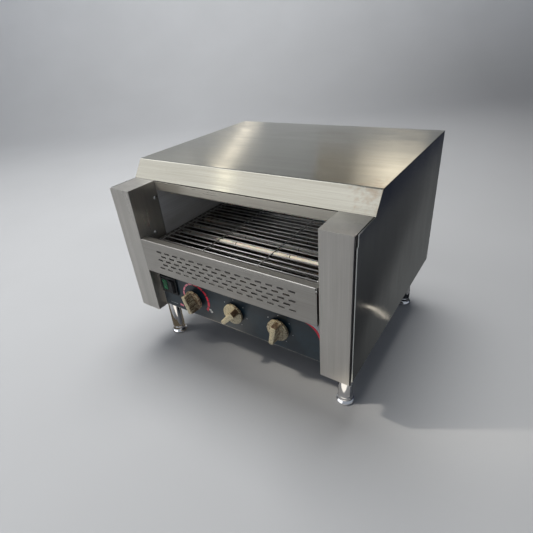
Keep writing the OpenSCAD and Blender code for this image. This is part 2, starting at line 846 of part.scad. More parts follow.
// closed outline in (y, z) round both chain wheels, at a distance from their pitch circles
function chain_outline(grow) =
  let (
    steps = 36,
    a = [motor_y, motor_z],
    b = [rear_shaft_y, shaft_z],
    ra = motor_wheel_r + grow,
    rb = shaft_wheel_r + grow,
    along = atan2(b[1] - a[1], b[0] - a[0]),
    off = acos((ra - rb) / norm(b - a))
  )
  concat(
    [for (i = [0:steps]) let (t = along + off + i * (360 - 2 * off) / steps) a + ra * [cos(t), sin(t)]],
    [for (i = [0:steps]) let (t = along - off + i * 2 * off / steps) b + rb * [cos(t), sin(t)]]
  );

// motor and gearbox lying along x; the gearbox's face is bored for the output shaft
module gear_motor() color(paint) placed() {
  split = gearbox_face - gearbox_len;
  difference() {
    union() {
      rod_x(split - motor_len, split + cut, motor_r, motor_y, motor_z);
      box([split, motor_y - gearbox_half, motor_z - gearbox_half],
          [gearbox_face, motor_y + gearbox_half, motor_z + gearbox_half]);
    }
    rod_x(gearbox_face - motor_shaft_in - cut, half_w, motor_shaft_d / 2 + run_gap, motor_y, motor_z);
  }
}

// upright plate on the base pan that the gearbox is bolted to
module motor_bracket() color(steel) placed() {
  plate_t = 2.5;
  plate_h = 60;
  foot_d2 = 50;
  half = 34;
  boss_r = 12;
  x1 = gearbox_face + plate_t;
  z0 = pan_top + touch;
  difference() {
    union() {
      box([gearbox_face + touch, motor_y - half, z0], [x1, motor_y + half, pan_top + plate_h]);
      box([gearbox_face - foot_d2, motor_y - half, z0], [x1, motor_y + half, pan_top + plate_t]);
    }
    rod_x(gearbox_face - cut, half_w, boss_r, motor_y, motor_z);
  }
}

// ---------- controls ----------

// control behind the panel: body, threaded bushing through the panel, and nut in front
module control_body(x, w, h, d) {
  difference() {
    union() {
      box([x - w / 2, panel_back + touch, knob_z - h / 2], [x + w / 2, panel_back + d, knob_z + h / 2]);
      rod_y(fascia_y - bushing_out, panel_back + cut, bushing_r, x, knob_z);
      rod_y(fascia_y - nut_t, fascia_y - touch, nut_r, x, knob_z);
    }
    rod_y(0, panel_back + 20, spindle_d / 2 + run_gap, x, knob_z);
  }
}

module speed_controller() color(black) placed() control_body(speed_x, 54, 40, 34);
module upper_heat_switch() color(ceramic) placed() control_body(upper_heat_x, 42, 42, 38);
module lower_heat_switch() color(ceramic) placed() control_body(lower_heat_x, 42, 42, 38);

// spindle from inside the control to the knob
module spindle(x, gap) {
  rod_y(fascia_y - gap - knob_disc_t - spindle_in, panel_back + 18, spindle_d / 2, x, knob_z);
}

module speed_spindle() color(bright) placed() spindle(speed_x, speed_knob_gap);
module upper_heat_spindle() color(bright) placed() spindle(upper_heat_x, heat_knob_gap);
module lower_heat_spindle() color(bright) placed() spindle(lower_heat_x, heat_knob_gap);

// knob: disc, raised bar grip and a recess behind for the bushing's nut
module knob(x, gap, angle) {
  disc_front = fascia_y - gap - knob_disc_t;
  recess = 1.5;
  translate([x, 0, knob_z]) rotate([0, -angle, 0]) difference() {
    union() {
      rod_y(disc_front, fascia_y - gap, knob_d / 2, 0, 0);
      intersection() {
        rod_y(disc_front - grip_h, disc_front + cut, knob_d / 2 - play, 0, 0);
        translate([0, disc_front, 0]) cube([knob_d, 2 * grip_h, grip_w], center = true);
      }
    }
    rod_y(disc_front - spindle_in - touch, fascia_y, spindle_d / 2 + touch / 2, 0, 0);
    rod_y(fascia_y - gap - recess, fascia_y, nut_r + recess, 0, 0);
  }
}

module speed_knob() color(bakelite) placed() knob(speed_x, speed_knob_gap, speed_angle);
module upper_heat_knob() color(bakelite) placed() knob(upper_heat_x, heat_knob_gap, upper_heat_angle);
module lower_heat_knob() color(bakelite) placed() knob(lower_heat_x, heat_knob_gap, lower_heat_angle);

// box across the switch's middle: half sizes along x and z, from y0 to y1
module switch_box(hx, hz, y0, y1) {
  box([switch_x - hx, y0, switch_z - hz], [switch_x + hx, y1, switch_z + hz]);
}

// housing of the power switch, behind and round the rocker
module switch_housing() color(black) placed() {
  well_x = rocker_w / 2 + 0.5;
  well_z = rocker_h / 2 + 0.5;
  wall = switch_wall - seat;
  well_back = rocker_pivot_y + 3.5;
  pin_room = 3.2;
  difference() {
    union() {
      switch_box(bezel_w / 2, bezel_h / 2, fascia_y - bezel_t, fascia_y - touch);
      switch_box(well_x + wall, well_z + wall, fascia_y - cut, fascia_y + switch_depth);
    }
    switch_box(well_x, well_z, fascia_y - 2 * bezel_t, well_back);
    translate([switch_x, rocker_pivot_y, switch_z])
      cylinder(r = rocker_pin_r + run_gap, h = rocker_h + pin_room, center = true);
  }
}

// rocker, at rest with its left end pressed in
module power_rocker() color(lens) placed() {
  reach = rocker_w / 2 + 3;
  foot_x = 10;
  foot_y = 1.2;
  pin_over = 2.6;
  translate([switch_x, rocker_pivot_y, switch_z]) rotate([0, 0, -rocker_tilt]) {
    linear_extrude(rocker_h, center = true) intersection() {
      polygon([
        [-reach, -rocker_rim], [0, -rocker_dip], [reach, -rocker_rim], [reach, -rocker_side],
        [foot_x, foot_y], [-foot_x, foot_y], [-reach, -rocker_side]
      ]);
      circle(r = rocker_w / 2 + 0.1);
    }
    cylinder(r = rocker_pin_r, h = rocker_h + pin_over, center = true);
  }
}

// ---------- electrics at the back ----------

// block with a row of wiring wells
module terminal_block() color(ceramic) placed() {
  wells = 5;
  well_pitch = 12;
  well_r = 2.5;
  len = wells * well_pitch;
  depth = 22;
  high = 20;
  x0 = gland_x - len / 2;
  y0 = back - 62;
  difference() {
    box([x0, y0, pan_top + touch], [x0 + len, y0 + depth, pan_top + high]);
    for (i = [0:wells - 1])
      translate([x0 + (i + 0.5) * well_pitch, y0 + depth / 2, pan_top + high / 2])
        cylinder(r = well_r, h = high);
  }
}

// cable gland in the rear panel
module cable_gland() color(black) placed() {
  flange_over = 3.5;
  flange_t = 5;
  nut_over = 3;
  nut_w = 3.5;
  inside = back - shell_t - touch;
  difference() {
    union() {
      rod_y(inside - gland_in, back + gland_out, gland_r, gland_x, gland_z);
      rod_y(back + touch, back + flange_t, gland_r + flange_over, gland_x, gland_z);
      rod_y(inside - nut_w, inside, gland_r + nut_over, gland_x, gland_z);
    }
    rod_y(inside - gland_in - cut, back + gland_out + cut, gland_bore_r, gland_x, gland_z);
  }
}

// screws of the belt's frame, the pillars and the rear panel
module panel_screws() color(bright) placed() {
  frame_len = 8;
  pillar_len = 6;
  rear_len = 7;
  both_sides() {
    for (y = frame_screw_y) translate([frame_in - touch, y, frame_screw_z]) screw(frame_len);
    for (p = pillar_screws) translate([chamber - touch, p[0], p[1]]) screw(pillar_len);
    for (z = rear_screw_z) translate([rear_screw_x, back + touch, z]) rotate([0, 0, -90]) screw(rear_len);
  }
}

// ---------- legs ----------

// leg tube with a plug at its top for the bolt and a bored insert at its foot
module leg(p) {
  top = pan_low - touch;
  hollow = top - foot_h - insert_h - leg_plug;
  translate([p[0], p[1], 0]) difference() {
    translate([0, 0, foot_h]) cylinder(r = leg_d / 2, h = top - foot_h);
    translate([0, 0, foot_h + insert_h]) cylinder(r = leg_d / 2 - leg_wall, h = hollow);
    translate([0, 0, foot_h - cut]) cylinder(r = stem_r + touch, h = insert_h + 2 * cut);
    translate([0, 0, top - leg_plug - cut]) cylinder(r = leg_bolt_r + touch, h = leg_plug + 2 * cut);
  }
}

module leg_front_left() color(bright) placed() leg(leg_places[0]);
module leg_front_right() color(bright) placed() leg(leg_places[1]);
module leg_rear_left() color(bright) placed() leg(leg_places[2]);
module leg_rear_right() color(bright) placed() leg(leg_places[3]);

// bolts from inside the base pan down into the legs
module leg_bolts() color(steel) placed() {
  head_r = 8.5;
  head_h = 6;
  for (p = leg_places) translate([p[0], p[1], pan_top + touch]) {
    cylinder(r = head_r, h = head_h, $fn = 6);
    translate([0, 0, -shell_t - leg_bolt_len]) cylinder(r = leg_bolt_r, h = shell_t + leg_bolt_len + cut);
  }
}

// levelling foot: flared base, neck and stem
module foot(p) {
  chamfer = 1.5;
  rim_h = 3.5;
  dome_z = 5.5;
  neck_z = 9;
  neck_r = leg_d / 2 - 1;
  top_z = foot_h - play;
  stem_top = foot_h + foot_travel + stem_over;
  translate([p[0], p[1], 0]) rotate_extrude() polygon([
    [0, 0], [foot_d / 2 - chamfer, 0], [foot_d / 2, chamfer], [foot_d / 2, rim_h],
    [foot_d / 2 - 2.5, dome_z], [neck_r, neck_z], [neck_r - chamfer, top_z],
    [stem_r, top_z], [stem_r, stem_top], [0, stem_top]
  ]);
}

module foot_front_left() color(bright) placed() foot(leg_places[0]);
module foot_front_right() color(bright) placed() foot(leg_places[1]);
module foot_rear_left() color(bright) placed() foot(leg_places[2]);
module foot_rear_right() color(bright) placed() foot(leg_places[3]);

// ---------- crumb tray ----------

// open tray that slides out at the back, with a cover plate over its slot
module crumb_tray() color(steel) placed() {
  plate_half = tray_half + tray_plate_over;
  difference() {
    union() {
      box([-tray_half, tray_front, tray_low], [tray_half, tray_back + tray_t / 2, tray_low + tray_h]);
      box([-plate_half, tray_back, tray_plate_low],
          [plate_half, tray_back + tray_plate_t, tray_plate_low + tray_plate_h]);
    }
    box([-tray_half + tray_t, tray_front + tray_t, tray_low + tray_t],
        [tray_half - tray_t, tray_back - tray_t, tray_low + tray_h + cut]);
    for (s = [-1, 1])
      rod_y(tray_back, handle_y + cut, screw_r + touch, s * handle_half, handle_z);
  }
}

// bow handle on the tray's cover plate, with pegs in it
module crumb_tray_handle() color(bright) placed() {
  y0 = handle_y + touch;
  y1 = handle_y + handle_out;
  both_sides() {
    box([handle_half - handle_post, y0, handle_z - handle_high],
        [handle_half + handle_post, y1, handle_z + handle_high]);
    rod_y(y0 - tray_plate_t, y0 + cut, screw_r, handle_half, handle_z);
  }
  box([-handle_half, y1 - handle_t, handle_z - handle_high], [handle_half, y1, handle_z + handle_high]);
}

base_pan();
left_inner_wall();
right_inner_wall();
left_side_panel();
right_side_panel();
left_front_pillar();
right_front_pillar();
hood();
front_lintel();
front_guard();
control_panel();
control_fascia();
rear_panel();
discharge_slide();
heat_shield();
tray_runners();
upper_reflector();
lower_reflector();
upper_heater_tubes();
lower_heater_tubes();
tube_holders();
belt_frame_left();
belt_frame_right();
belt_frame_ties();
shaft_bushes();
conveyor_belt();
gear_motor();
motor_bracket();
drive_chain();
speed_controller();
upper_heat_switch();
lower_heat_switch();
switch_housing();
terminal_block();
cable_gland();
panel_screws();
leg_front_left();
leg_front_right();
leg_rear_left();
leg_rear_right();
leg_bolts();
foot_front_left();
foot_front_right();
foot_rear_left();
foot_rear_right();
drive_shaft();
drive_belt_wheels();
driven_chain_wheel();
idler_shaft();
idler_belt_wheels();
motor_chain_wheel();
speed_knob();
upper_heat_knob();
lower_heat_knob();
speed_spindle();
upper_heat_spindle();
lower_heat_spindle();
power_rocker();
crumb_tray();
crumb_tray_handle();
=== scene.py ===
"""Looks of a counter-top conveyor toaster, built piece by piece round its fixed frame.

Points are written in millimetres: x from the middle, y back from the plane of the front
pillars' faces, z up from the floor. placed() turns them into metres in the frame's own axes.
"""
from math import atan2, cos, hypot, pi, radians, sin

import bmesh
import bpy
from bpy.props import FloatProperty, FloatVectorProperty, IntProperty, PointerProperty
from mathutils import Matrix, Vector


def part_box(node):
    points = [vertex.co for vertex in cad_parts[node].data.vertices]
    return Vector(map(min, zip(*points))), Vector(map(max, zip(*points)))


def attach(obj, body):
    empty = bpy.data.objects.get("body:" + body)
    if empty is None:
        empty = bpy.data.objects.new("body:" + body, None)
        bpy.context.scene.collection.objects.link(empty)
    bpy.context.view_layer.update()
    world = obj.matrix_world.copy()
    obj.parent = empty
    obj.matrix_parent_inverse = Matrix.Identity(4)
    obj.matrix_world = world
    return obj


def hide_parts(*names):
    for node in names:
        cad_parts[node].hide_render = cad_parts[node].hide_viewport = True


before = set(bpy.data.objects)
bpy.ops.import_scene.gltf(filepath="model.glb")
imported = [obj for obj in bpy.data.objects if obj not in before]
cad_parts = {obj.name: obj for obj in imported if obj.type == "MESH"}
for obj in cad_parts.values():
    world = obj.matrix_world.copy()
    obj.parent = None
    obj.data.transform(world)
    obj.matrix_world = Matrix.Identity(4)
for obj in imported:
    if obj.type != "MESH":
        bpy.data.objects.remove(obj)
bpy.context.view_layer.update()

bl_info = {
    "name": "Conveyor toaster",
    "version": (1, 0, 0),
    "blender": (4, 5, 0),
    "location": "View3D > Sidebar > Toaster",
    "description": "Builds the sheets, belt, heaters, controls and stage of a conveyor toaster",
    "category": "Add Mesh",
}

MM = 0.001
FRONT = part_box("left_front_pillar")[0].y  # the pillars' front plane, in the frame's y
HOUSING = "housing"
GRAIN_DEPTH = 0.0003  # metres of relief that the bump of a fine surface stands for


# ---------- colours, points and objects ----------

def linear(colour):
    """an sRGB hex colour as linear RGBA; a colour picked in the panel is linear already"""
    if not isinstance(colour, str):
        return list(colour)
    parts = [int(colour[i:i + 2], 16) / 255 for i in (1, 3, 5)]
    return [c / 12.92 if c <= 0.04045 else ((c + 0.055) / 1.055) ** 2.4 for c in parts] + [1.0]


def colour_setting(name, description, default):
    """a colour that can be picked in the panel"""
    return FloatVectorProperty(name=name, description=description, default=linear(default),
                               size=4, min=0.0, max=1.0, subtype="COLOR")


def placed(x, y, z):
    """a point in millimetres from the front plane, as metres in the frame"""
    return Vector((x * MM, FRONT + y * MM, z * MM))


def node_mm(name):
    """lowest and highest corner of a frame node, in millimetres from the front plane"""
    return [Vector((c.x / MM, (c.y - FRONT) / MM, c.z / MM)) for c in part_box(name)]


def node_middle(name):
    """the middle of a frame node's box, in millimetres from the front plane"""
    return [(a + b) / 2 for a, b in zip(*node_mm(name))]


def new_object(name, data):
    """an object at the origin, in the scene"""
    obj = bpy.data.objects.new(name, data)
    bpy.context.scene.collection.objects.link(obj)
    return obj


def from_bmesh(bm, name):
    """an object with a bmesh's faces, doubles merged and normals outward"""
    bmesh.ops.remove_doubles(bm, verts=bm.verts, dist=1e-7)
    bmesh.ops.recalc_face_normals(bm, faces=bm.faces)
    mesh = bpy.data.meshes.new(name)
    bm.to_mesh(mesh)
    bm.free()
    return new_object(name, mesh)


def make_plain(obj):
    """keeps what the modifiers show as the object's own mesh, and drops them"""
    bpy.context.view_layer.update()
    shown = obj.evaluated_get(bpy.context.evaluated_depsgraph_get())
    old = obj.data
    mesh = bpy.data.meshes.new_from_object(shown)
    obj.modifiers.clear()
    obj.data = mesh
    bpy.data.meshes.remove(old)
    mesh.name = obj.name
    return obj


def finish(name):
    """a material that the finishes operator has made"""
    return bpy.data.materials[name]


def drop(*objects):
    """removes helper objects and their meshes"""
    for obj in objects:
        data = obj.data
        bpy.data.objects.remove(obj)
        bpy.data.meshes.remove(data)


def ease_edges(obj, width, steps=2, angle=34):
    """rounds every sharp edge a little and keeps flat faces flat to the eye"""
    bevel = obj.modifiers.new("eased edges", "BEVEL")
    bevel.width = width * MM
    bevel.segments = steps
    bevel.limit_method = "ANGLE"
    bevel.angle_limit = radians(angle)
    bevel.use_clamp_overlap = True
    obj.data.shade_smooth()
    normals = obj.modifiers.new("flat faces stay flat", "WEIGHTED_NORMAL")
    normals.weight = 100
    normals.keep_sharp = True
    return make_plain(obj)


def cut_away(obj, cutter):
    """takes one solid out of another"""
    cut = obj.modifiers.new("cut", "BOOLEAN")
    cut.object = cutter
    cut.solver = "EXACT"
    make_plain(obj)
    drop(cutter)
    return obj


def smooth(obj, angle=38):
    """smooth shading, with edges over an angle kept sharp"""
    obj.data.shade_smooth()
    obj.data.set_sharp_from_angle(angle=radians(angle))
    return obj


def hand_over(obj, body, slot, *nodes, materials=()):
    """gives a finished piece its materials and its body, and hides the nodes that it stands for;
    slot is not used
    """
    if materials:
        obj.data.materials.clear()
        for name in materials:
            obj.data.materials.append(finish(name))
    if not obj.data.materials:
        raise RuntimeError(obj.name + " has no material")
    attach(obj, body)
    if nodes:
        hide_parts(*nodes)
    return obj


# ---------- mesh shapes ----------

def add_prism(bm, outline, low, high, axis):
    """a closed outline, in millimetres across an axis, extruded along it from low to high"""
    def point(a, b, along):
        return placed(*{"x": (along, a, b), "y": (a, along, b), "z": (a, b, along)}[axis])
    ends = [[bm.verts.new(point(a, b, along)) for a, b in outline] for along in (low, high)]
    count = len(outline)
    faces = [bm.faces.new(ends[0]), bm.faces.new(ends[1][::-1])]
    for i in range(count):
        j = (i + 1) % count
        faces.append(bm.faces.new((ends[0][i], ends[0][j], ends[1][j], ends[1][i])))
    return faces


def add_box(bm, low, high):
    """a box between two corners in millimetres"""
    (x0, y0, z0), (x1, y1, z1) = low, high
    return add_prism(bm, [(x0, y0), (x1, y0), (x1, y1), (x0, y1)], z0, z1, "z")


def join_rings(bm, low, high):
    """faces between two rings, either of which may be a single point"""
    count = max(len(low), len(high))
    faces = []
    for i in range(count):
        j = (i + 1) % count
        seen = []
        for v in (low[i % len(low)], low[j % len(low)], high[j % len(high)], high[i % len(high)]):
            if v not in seen:
                seen.append(v)
        if len(seen) > 2:
            faces.append(bm.faces.new(seen))
    return faces


def add_lathe(bm, profile, centre, axis="z", steps=48):
    """a profile of (radius, height) turned round an axis through a centre; it is closed with
    caps, or is a ring when the profile ends where it starts"""
    turn = {"z": Matrix.Identity(3), "y": Matrix.Rotation(-pi / 2, 3, "X"),
            "x": Matrix.Rotation(pi / 2, 3, "Y")}[axis]
    rings = []
    for radius, height in profile:
        count = steps if radius > 1e-6 else 1
        rings.append([bm.verts.new(placed(*(Vector(centre) + turn @ Vector(
            (radius * cos(2 * pi * i / count), radius * sin(2 * pi * i / count), height)))))
            for i in range(count)])
    faces = []
    for low, high in zip(rings, rings[1:]):
        faces += join_rings(bm, low, high)
    if profile[0] != profile[-1]:
        faces += [bm.faces.new(ring) for ring in (rings[0], rings[-1]) if len(ring) > 1]
    return faces


def add_wire(bm, points, radius, sides=6):
    """a round wire along points given in millimetres"""
    path = [Vector(p) for p in points]
    rings = []
    across = None
    for i, here in enumerate(path):
        along = (path[min(i + 1, len(path) - 1)] - path[max(i - 1, 0)]).normalized()
        across = along.orthogonal() if across is None else across - along * across.dot(along)
        across.normalize()
        up = along.cross(across)
        turns = [2 * pi * k / sides for k in range(sides)]
        rings.append([bm.verts.new(placed(*(here + radius * (cos(a) * across + sin(a) * up))))
                      for a in turns])
    for low, high in zip(rings, rings[1:]):
        join_rings(bm, low, high)
    bm.faces.new(rings[0])
    bm.faces.new(rings[-1])


def arc(centre, reach, start, sweep, steps):
    """points round a centre, with angles in degrees; a pair of reaches follows an ellipse"""
    across, up = reach if isinstance(reach, tuple) else (reach, reach)
    turns = [radians(start + sweep * i / steps) for i in range(steps + 1)]
    return [(centre[0] + across * cos(a), centre[1] + up * sin(a)) for a in turns]


def rounded_rectangle(width, height, radius, steps=5, centre=(0, 0)):
    """corner points of a rectangle with round corners"""
    points = []
    for n, (sx, sz) in enumerate(((1, 1), (-1, 1), (-1, -1), (1, -1))):
        corner = (centre[0] + sx * (width / 2 - radius), centre[1] + sz * (height / 2 - radius))
        points += arc(corner, radius, 90 * n, 90, steps)
    return points


def round_folds(bm, axis, places, radius, steps=5):
    """rounds the edges that run along an axis through the given places, in millimetres across it"""
    index = "xyz".index(axis)
    others = [i for i in range(3) if i != index]
    chosen = []
    for edge in bm.edges:
        a, b = (Vector((v.co.x, v.co.y - FRONT, v.co.z)) / MM for v in edge.verts)
        along = b - a
        if along.length < 0.5 or abs(along[index]) < 0.999 * along.length:
            continue
        if any(all(abs(a[others[k]] - place[k]) < 0.06 for k in (0, 1)) for place in places):
            chosen.append(edge)
    if not chosen:
        raise RuntimeError("no fold lies along %s at %s" % (axis, places))
    bmesh.ops.bevel(bm, geom=chosen, offset=radius * MM, offset_type="OFFSET", segments=steps,
                    profile=0.5, affect="EDGES", clamp_overlap=True)


def sheet_from_node(name, node, edge, folds=(), dark_above_height=None):
    """a sheet-metal piece from a frame node: loose triangles merged into whole faces, folds
    rounded, then every edge eased; above a height it takes its second material"""
    bm = bmesh.new()
    bm.from_mesh(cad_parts[node].data)
    bmesh.ops.remove_doubles(bm, verts=bm.verts, dist=2e-6)
    bmesh.ops.dissolve_limit(bm, angle_limit=radians(0.5), verts=bm.verts, edges=bm.edges)
    for axis, places, radius in folds:
        round_folds(bm, axis, places, radius)
    # faces above the height take the second material, painted dark as shade
    if dark_above_height:
        bmesh.ops.bisect_plane(bm, geom=bm.verts[:] + bm.edges[:] + bm.faces[:], dist=1e-6,
                               plane_co=placed(0, 0, dark_above_height), plane_no=(0, 0, 1))
    mesh = bpy.data.meshes.new(name)
    bm.to_mesh(mesh)
    bm.free()
    obj = ease_edges(new_object(name, mesh), edge)
    for face in obj.data.polygons if dark_above_height else ():
        face.material_index = int(face.center.z / MM > dark_above_height)
    return obj


def plate_with_windows(name, low, high, windows):
    """an upright plate, across y, with rectangular windows given as (x0, z0, x1, z1)"""
    xs = sorted({low[0], high[0], *(w[0] for w in windows), *(w[2] for w in windows)})
    zs = sorted({low[2], high[2], *(w[1] for w in windows), *(w[3] for w in windows)})

    def is_open(i, k):
        if not (0 <= i < len(xs) - 1 and 0 <= k < len(zs) - 1):
            return True
        cx, cz = (xs[i] + xs[i + 1]) / 2, (zs[k] + zs[k + 1]) / 2
        return any(w[0] < cx < w[2] and w[1] < cz < w[3] for w in windows)

    bm = bmesh.new()
    for i in range(len(xs) - 1):
        for k in range(len(zs) - 1):
            if is_open(i, k):
                continue
            x0, x1, z0, z1 = xs[i], xs[i + 1], zs[k], zs[k + 1]
            quads = [[(x, y, z) for x, z in ((x0, z0), (x1, z0), (x1, z1), (x0, z1))]
                     for y in (low[1], high[1])]
            sides = {(-1, 0): ((x0, z0), (x0, z1)), (1, 0): ((x1, z1), (x1, z0)),
                     (0, -1): ((x1, z0), (x0, z0)), (0, 1): ((x0, z1), (x1, z1))}
            for (di, dk), (a, b) in sides.items():
                if is_open(i + di, k + dk):
                    quads.append([(a[0], low[1], a[1]), (b[0], low[1], b[1]),
                                  (b[0], high[1], b[1]), (a[0], high[1], a[1])])
            for quad in quads:
                bm.faces.new([bm.verts.new(placed(*p)) for p in quad])
    bmesh.ops.remove_doubles(bm, verts=bm.verts, dist=1e-7)
    bmesh.ops.recalc_face_normals(bm, faces=bm.faces)
    bmesh.ops.dissolve_limit(bm, angle_limit=radians(0.5), verts=bm.verts, edges=bm.edges)
    return from_bmesh(bm, name)


def model_piece(bm, name, second=None):
    """a piece that trees copy, drawn round the frame's own origin; second picks the faces, by
    their middle in millimetres, that take the second material"""
    bmesh.ops.remove_doubles(bm, verts=bm.verts, dist=1e-7)
    bmesh.ops.recalc_face_normals(bm, faces=bm.faces)
    bmesh.ops.translate(bm, verts=bm.verts, vec=(0, -FRONT, 0))
    marks = [bool(second and second(face.calc_center_median() / MM)) for face in bm.faces]
    mesh = bpy.data.meshes.new(name)
    bm.to_mesh(mesh)
    bm.free()
    mesh.attributes.new("second", "BOOLEAN", "FACE").data.foreach_set("value", marks)
    return smooth(new_object(name, mesh), 40)


def marks_object(name, points, facings=(), closed=False):
    """loose points in millimetres, with a facing each, or a closed loop of them"""
    mesh = bpy.data.meshes.new(name)
    count = len(points)
    edges = [(i, (i + 1) % count) for i in range(count)] if closed else []
    mesh.from_pydata([placed(*p) for p in points], edges, [])
    if facings:
        attribute = mesh.attributes.new("facing", "FLOAT_VECTOR", "POINT")
        attribute.data.foreach_set("vector", [c for facing in facings for c in facing])
    return new_object(name, mesh)


# ---------- node trees ----------

def set_inputs(tree, node, inputs):
    """an input takes a value, a socket, or a node's first output"""
    for key, value in inputs.items():
        if isinstance(value, bpy.types.Node):
            value = value.outputs[0]
        if isinstance(value, bpy.types.NodeSocket):
            tree.links.new(value, node.inputs[key])
        else:
            node.inputs[key].default_value = value


def add(tree, kind, inputs=None, **settings):
    """adds a node with its settings and inputs; where inputs are numbered, a Math node's terms
    are 0 to 2, a Mix node's factor and colours are 0, 6 and 7, and a Map Range node's value is
    0, with 1 and 2 as the range it comes from and 3 and 4 as the range it goes to, 0 to 1 if
    these are left out"""
    node = tree.nodes.new(kind)
    for key, value in settings.items():
        setattr(node, key, value)
    set_inputs(tree, node, inputs or {})
    return node


def new_tree(name, sockets):
    """an empty Geometry Nodes tree with named inputs; returns it, its inputs and its output node"""
    tree = bpy.data.node_groups.new(name, "GeometryNodeTree")
    tree.interface.new_socket(name="Geometry", in_out="INPUT", socket_type="NodeSocketGeometry")
    tree.interface.new_socket(name="Geometry", in_out="OUTPUT", socket_type="NodeSocketGeometry")
    for label, kind in sockets:
        tree.interface.new_socket(name=label, in_out="INPUT", socket_type="NodeSocket" + kind)
    return tree, tree.nodes.new("NodeGroupInput").outputs, tree.nodes.new("NodeGroupOutput")


def run_tree(obj, tree, values):
    """runs a tree on an object with its inputs set by identifier, and keeps the plain mesh"""
    modifier = obj.modifiers.new(tree.name, "NODES")
    modifier.node_group = tree
    for item in tree.interface.items_tree:
        if item.in_out == "INPUT" and item.name in values:
            modifier[item.identifier] = values[item.name]
    obj.update_tag()
    return make_plain(obj)


def punched_slots_tree():
    """punches a staggered field of round-cornered slots through a sheet, along y"""
    tree, g, out = new_tree("punched slots", [
        ("Slots in a row", "Int"), ("Rows", "Int"), ("Pitch", "Float"), ("Row pitch", "Float"),
        ("Slot length", "Float"), ("Slot height", "Float"), ("Corner radius", "Float"),
        ("Depth", "Float"), ("Middle of top row", "Vector"), ("Material", "Material")])
    total = add(tree, "ShaderNodeMath", {0: g["Slots in a row"], 1: g["Rows"]},
                operation="MULTIPLY")
    index = add(tree, "GeometryNodeInputIndex")
    column = add(tree, "ShaderNodeMath", {0: index, 1: g["Slots in a row"]}, operation="MODULO")
    share = add(tree, "ShaderNodeMath", {0: index, 1: g["Slots in a row"]}, operation="DIVIDE")
    row = add(tree, "ShaderNodeMath", {0: share}, operation="FLOOR")
    odd = add(tree, "ShaderNodeMath", {0: row, 1: 2.0}, operation="MODULO")
    last = add(tree, "ShaderNodeMath", {0: g["Slots in a row"], 1: 1.0}, operation="SUBTRACT")
    centred = add(tree, "ShaderNodeMath", {0: last, 1: -0.5, 2: column}, operation="MULTIPLY_ADD")
    staggered = add(tree, "ShaderNodeMath", {0: odd, 1: 0.5, 2: centred}, operation="MULTIPLY_ADD")
    across = add(tree, "ShaderNodeMath", {0: staggered, 1: g["Pitch"]}, operation="MULTIPLY")
    below = add(tree, "ShaderNodeMath", {0: row, 1: g["Row pitch"]}, operation="MULTIPLY")
    down = add(tree, "ShaderNodeMath", {0: below, 1: -1.0}, operation="MULTIPLY")
    offset = add(tree, "ShaderNodeCombineXYZ", {"X": across, "Z": down})
    place = add(tree, "ShaderNodeVectorMath", {0: offset, 1: g["Middle of top row"]},
                operation="ADD")
    points = add(tree, "GeometryNodePoints", {"Count": total, "Position": place})
    # a staggered row is one slot shorter than its neighbours
    at_end = add(tree, "ShaderNodeMath", {0: column, 1: last, 2: 0.5}, operation="COMPARE")
    surplus = add(tree, "ShaderNodeMath", {0: odd, 1: at_end}, operation="MULTIPLY")
    kept = add(tree, "GeometryNodeDeleteGeometry", {"Geometry": points, "Selection": surplus},
               domain="POINT")
    outline = add(tree, "GeometryNodeCurvePrimitiveQuadrilateral",
                  {"Width": g["Slot length"], "Height": g["Slot height"]})
    rounded = add(tree, "GeometryNodeFilletCurve",
                  {"Curve": outline, "Radius": g["Corner radius"], "Count": 3}, mode="POLY")
    face = add(tree, "GeometryNodeFillCurve", {"Curve": rounded}, mode="NGONS")
    rise = add(tree, "ShaderNodeCombineXYZ", {"Z": g["Depth"]})
    raised = add(tree, "GeometryNodeExtrudeMesh",
                 {"Mesh": face, "Offset": rise, "Individual": False})
    both = add(tree, "GeometryNodeJoinGeometry", {"Geometry": raised})
    tree.links.new(add(tree, "GeometryNodeFlipFaces", {"Mesh": face}).outputs[0], both.inputs[0])
    closed = add(tree, "GeometryNodeMergeByDistance", {"Geometry": both, "Distance": 1e-6})
    half = add(tree, "ShaderNodeMath", {0: g["Depth"], 1: 0.5}, operation="MULTIPLY")
    middle = add(tree, "ShaderNodeCombineXYZ", {"Y": half})
    cutter = add(tree, "GeometryNodeTransform",
                 {"Geometry": closed, "Translation": middle, "Rotation": (pi / 2, 0, 0)})
    copies = add(tree, "GeometryNodeInstanceOnPoints", {"Points": kept, "Instance": cutter})
    solid = add(tree, "GeometryNodeRealizeInstances", {"Geometry": copies})
    cut = add(tree, "GeometryNodeMeshBoolean", {"Mesh 1": g["Geometry"], "Mesh 2": solid},
              operation="DIFFERENCE", solver="EXACT")
    real = add(tree, "GeometryNodeRealizeInstances", {"Geometry": cut})
    done = add(tree, "GeometryNodeSetMaterial", {"Geometry": real, "Material": g["Material"]})
    tree.links.new(done.outputs[0], out.inputs[0])
    return tree


def end_tree(tree, copies, g, out):
    """makes copies real; faces marked second take the second material, the rest the first"""
    real = add(tree, "GeometryNodeRealizeInstances", {"Geometry": copies})
    first = add(tree, "GeometryNodeSetMaterial", {"Geometry": real, "Material": g["Material"]})
    marked = add(tree, "GeometryNodeInputNamedAttribute", {"Name": "second"}, data_type="BOOLEAN")
    second = add(tree, "GeometryNodeSetMaterial",
                 {"Geometry": first, "Selection": marked, "Material": g["Second material"]})
    tree.links.new(second.outputs[0], out.inputs[0])
    return tree


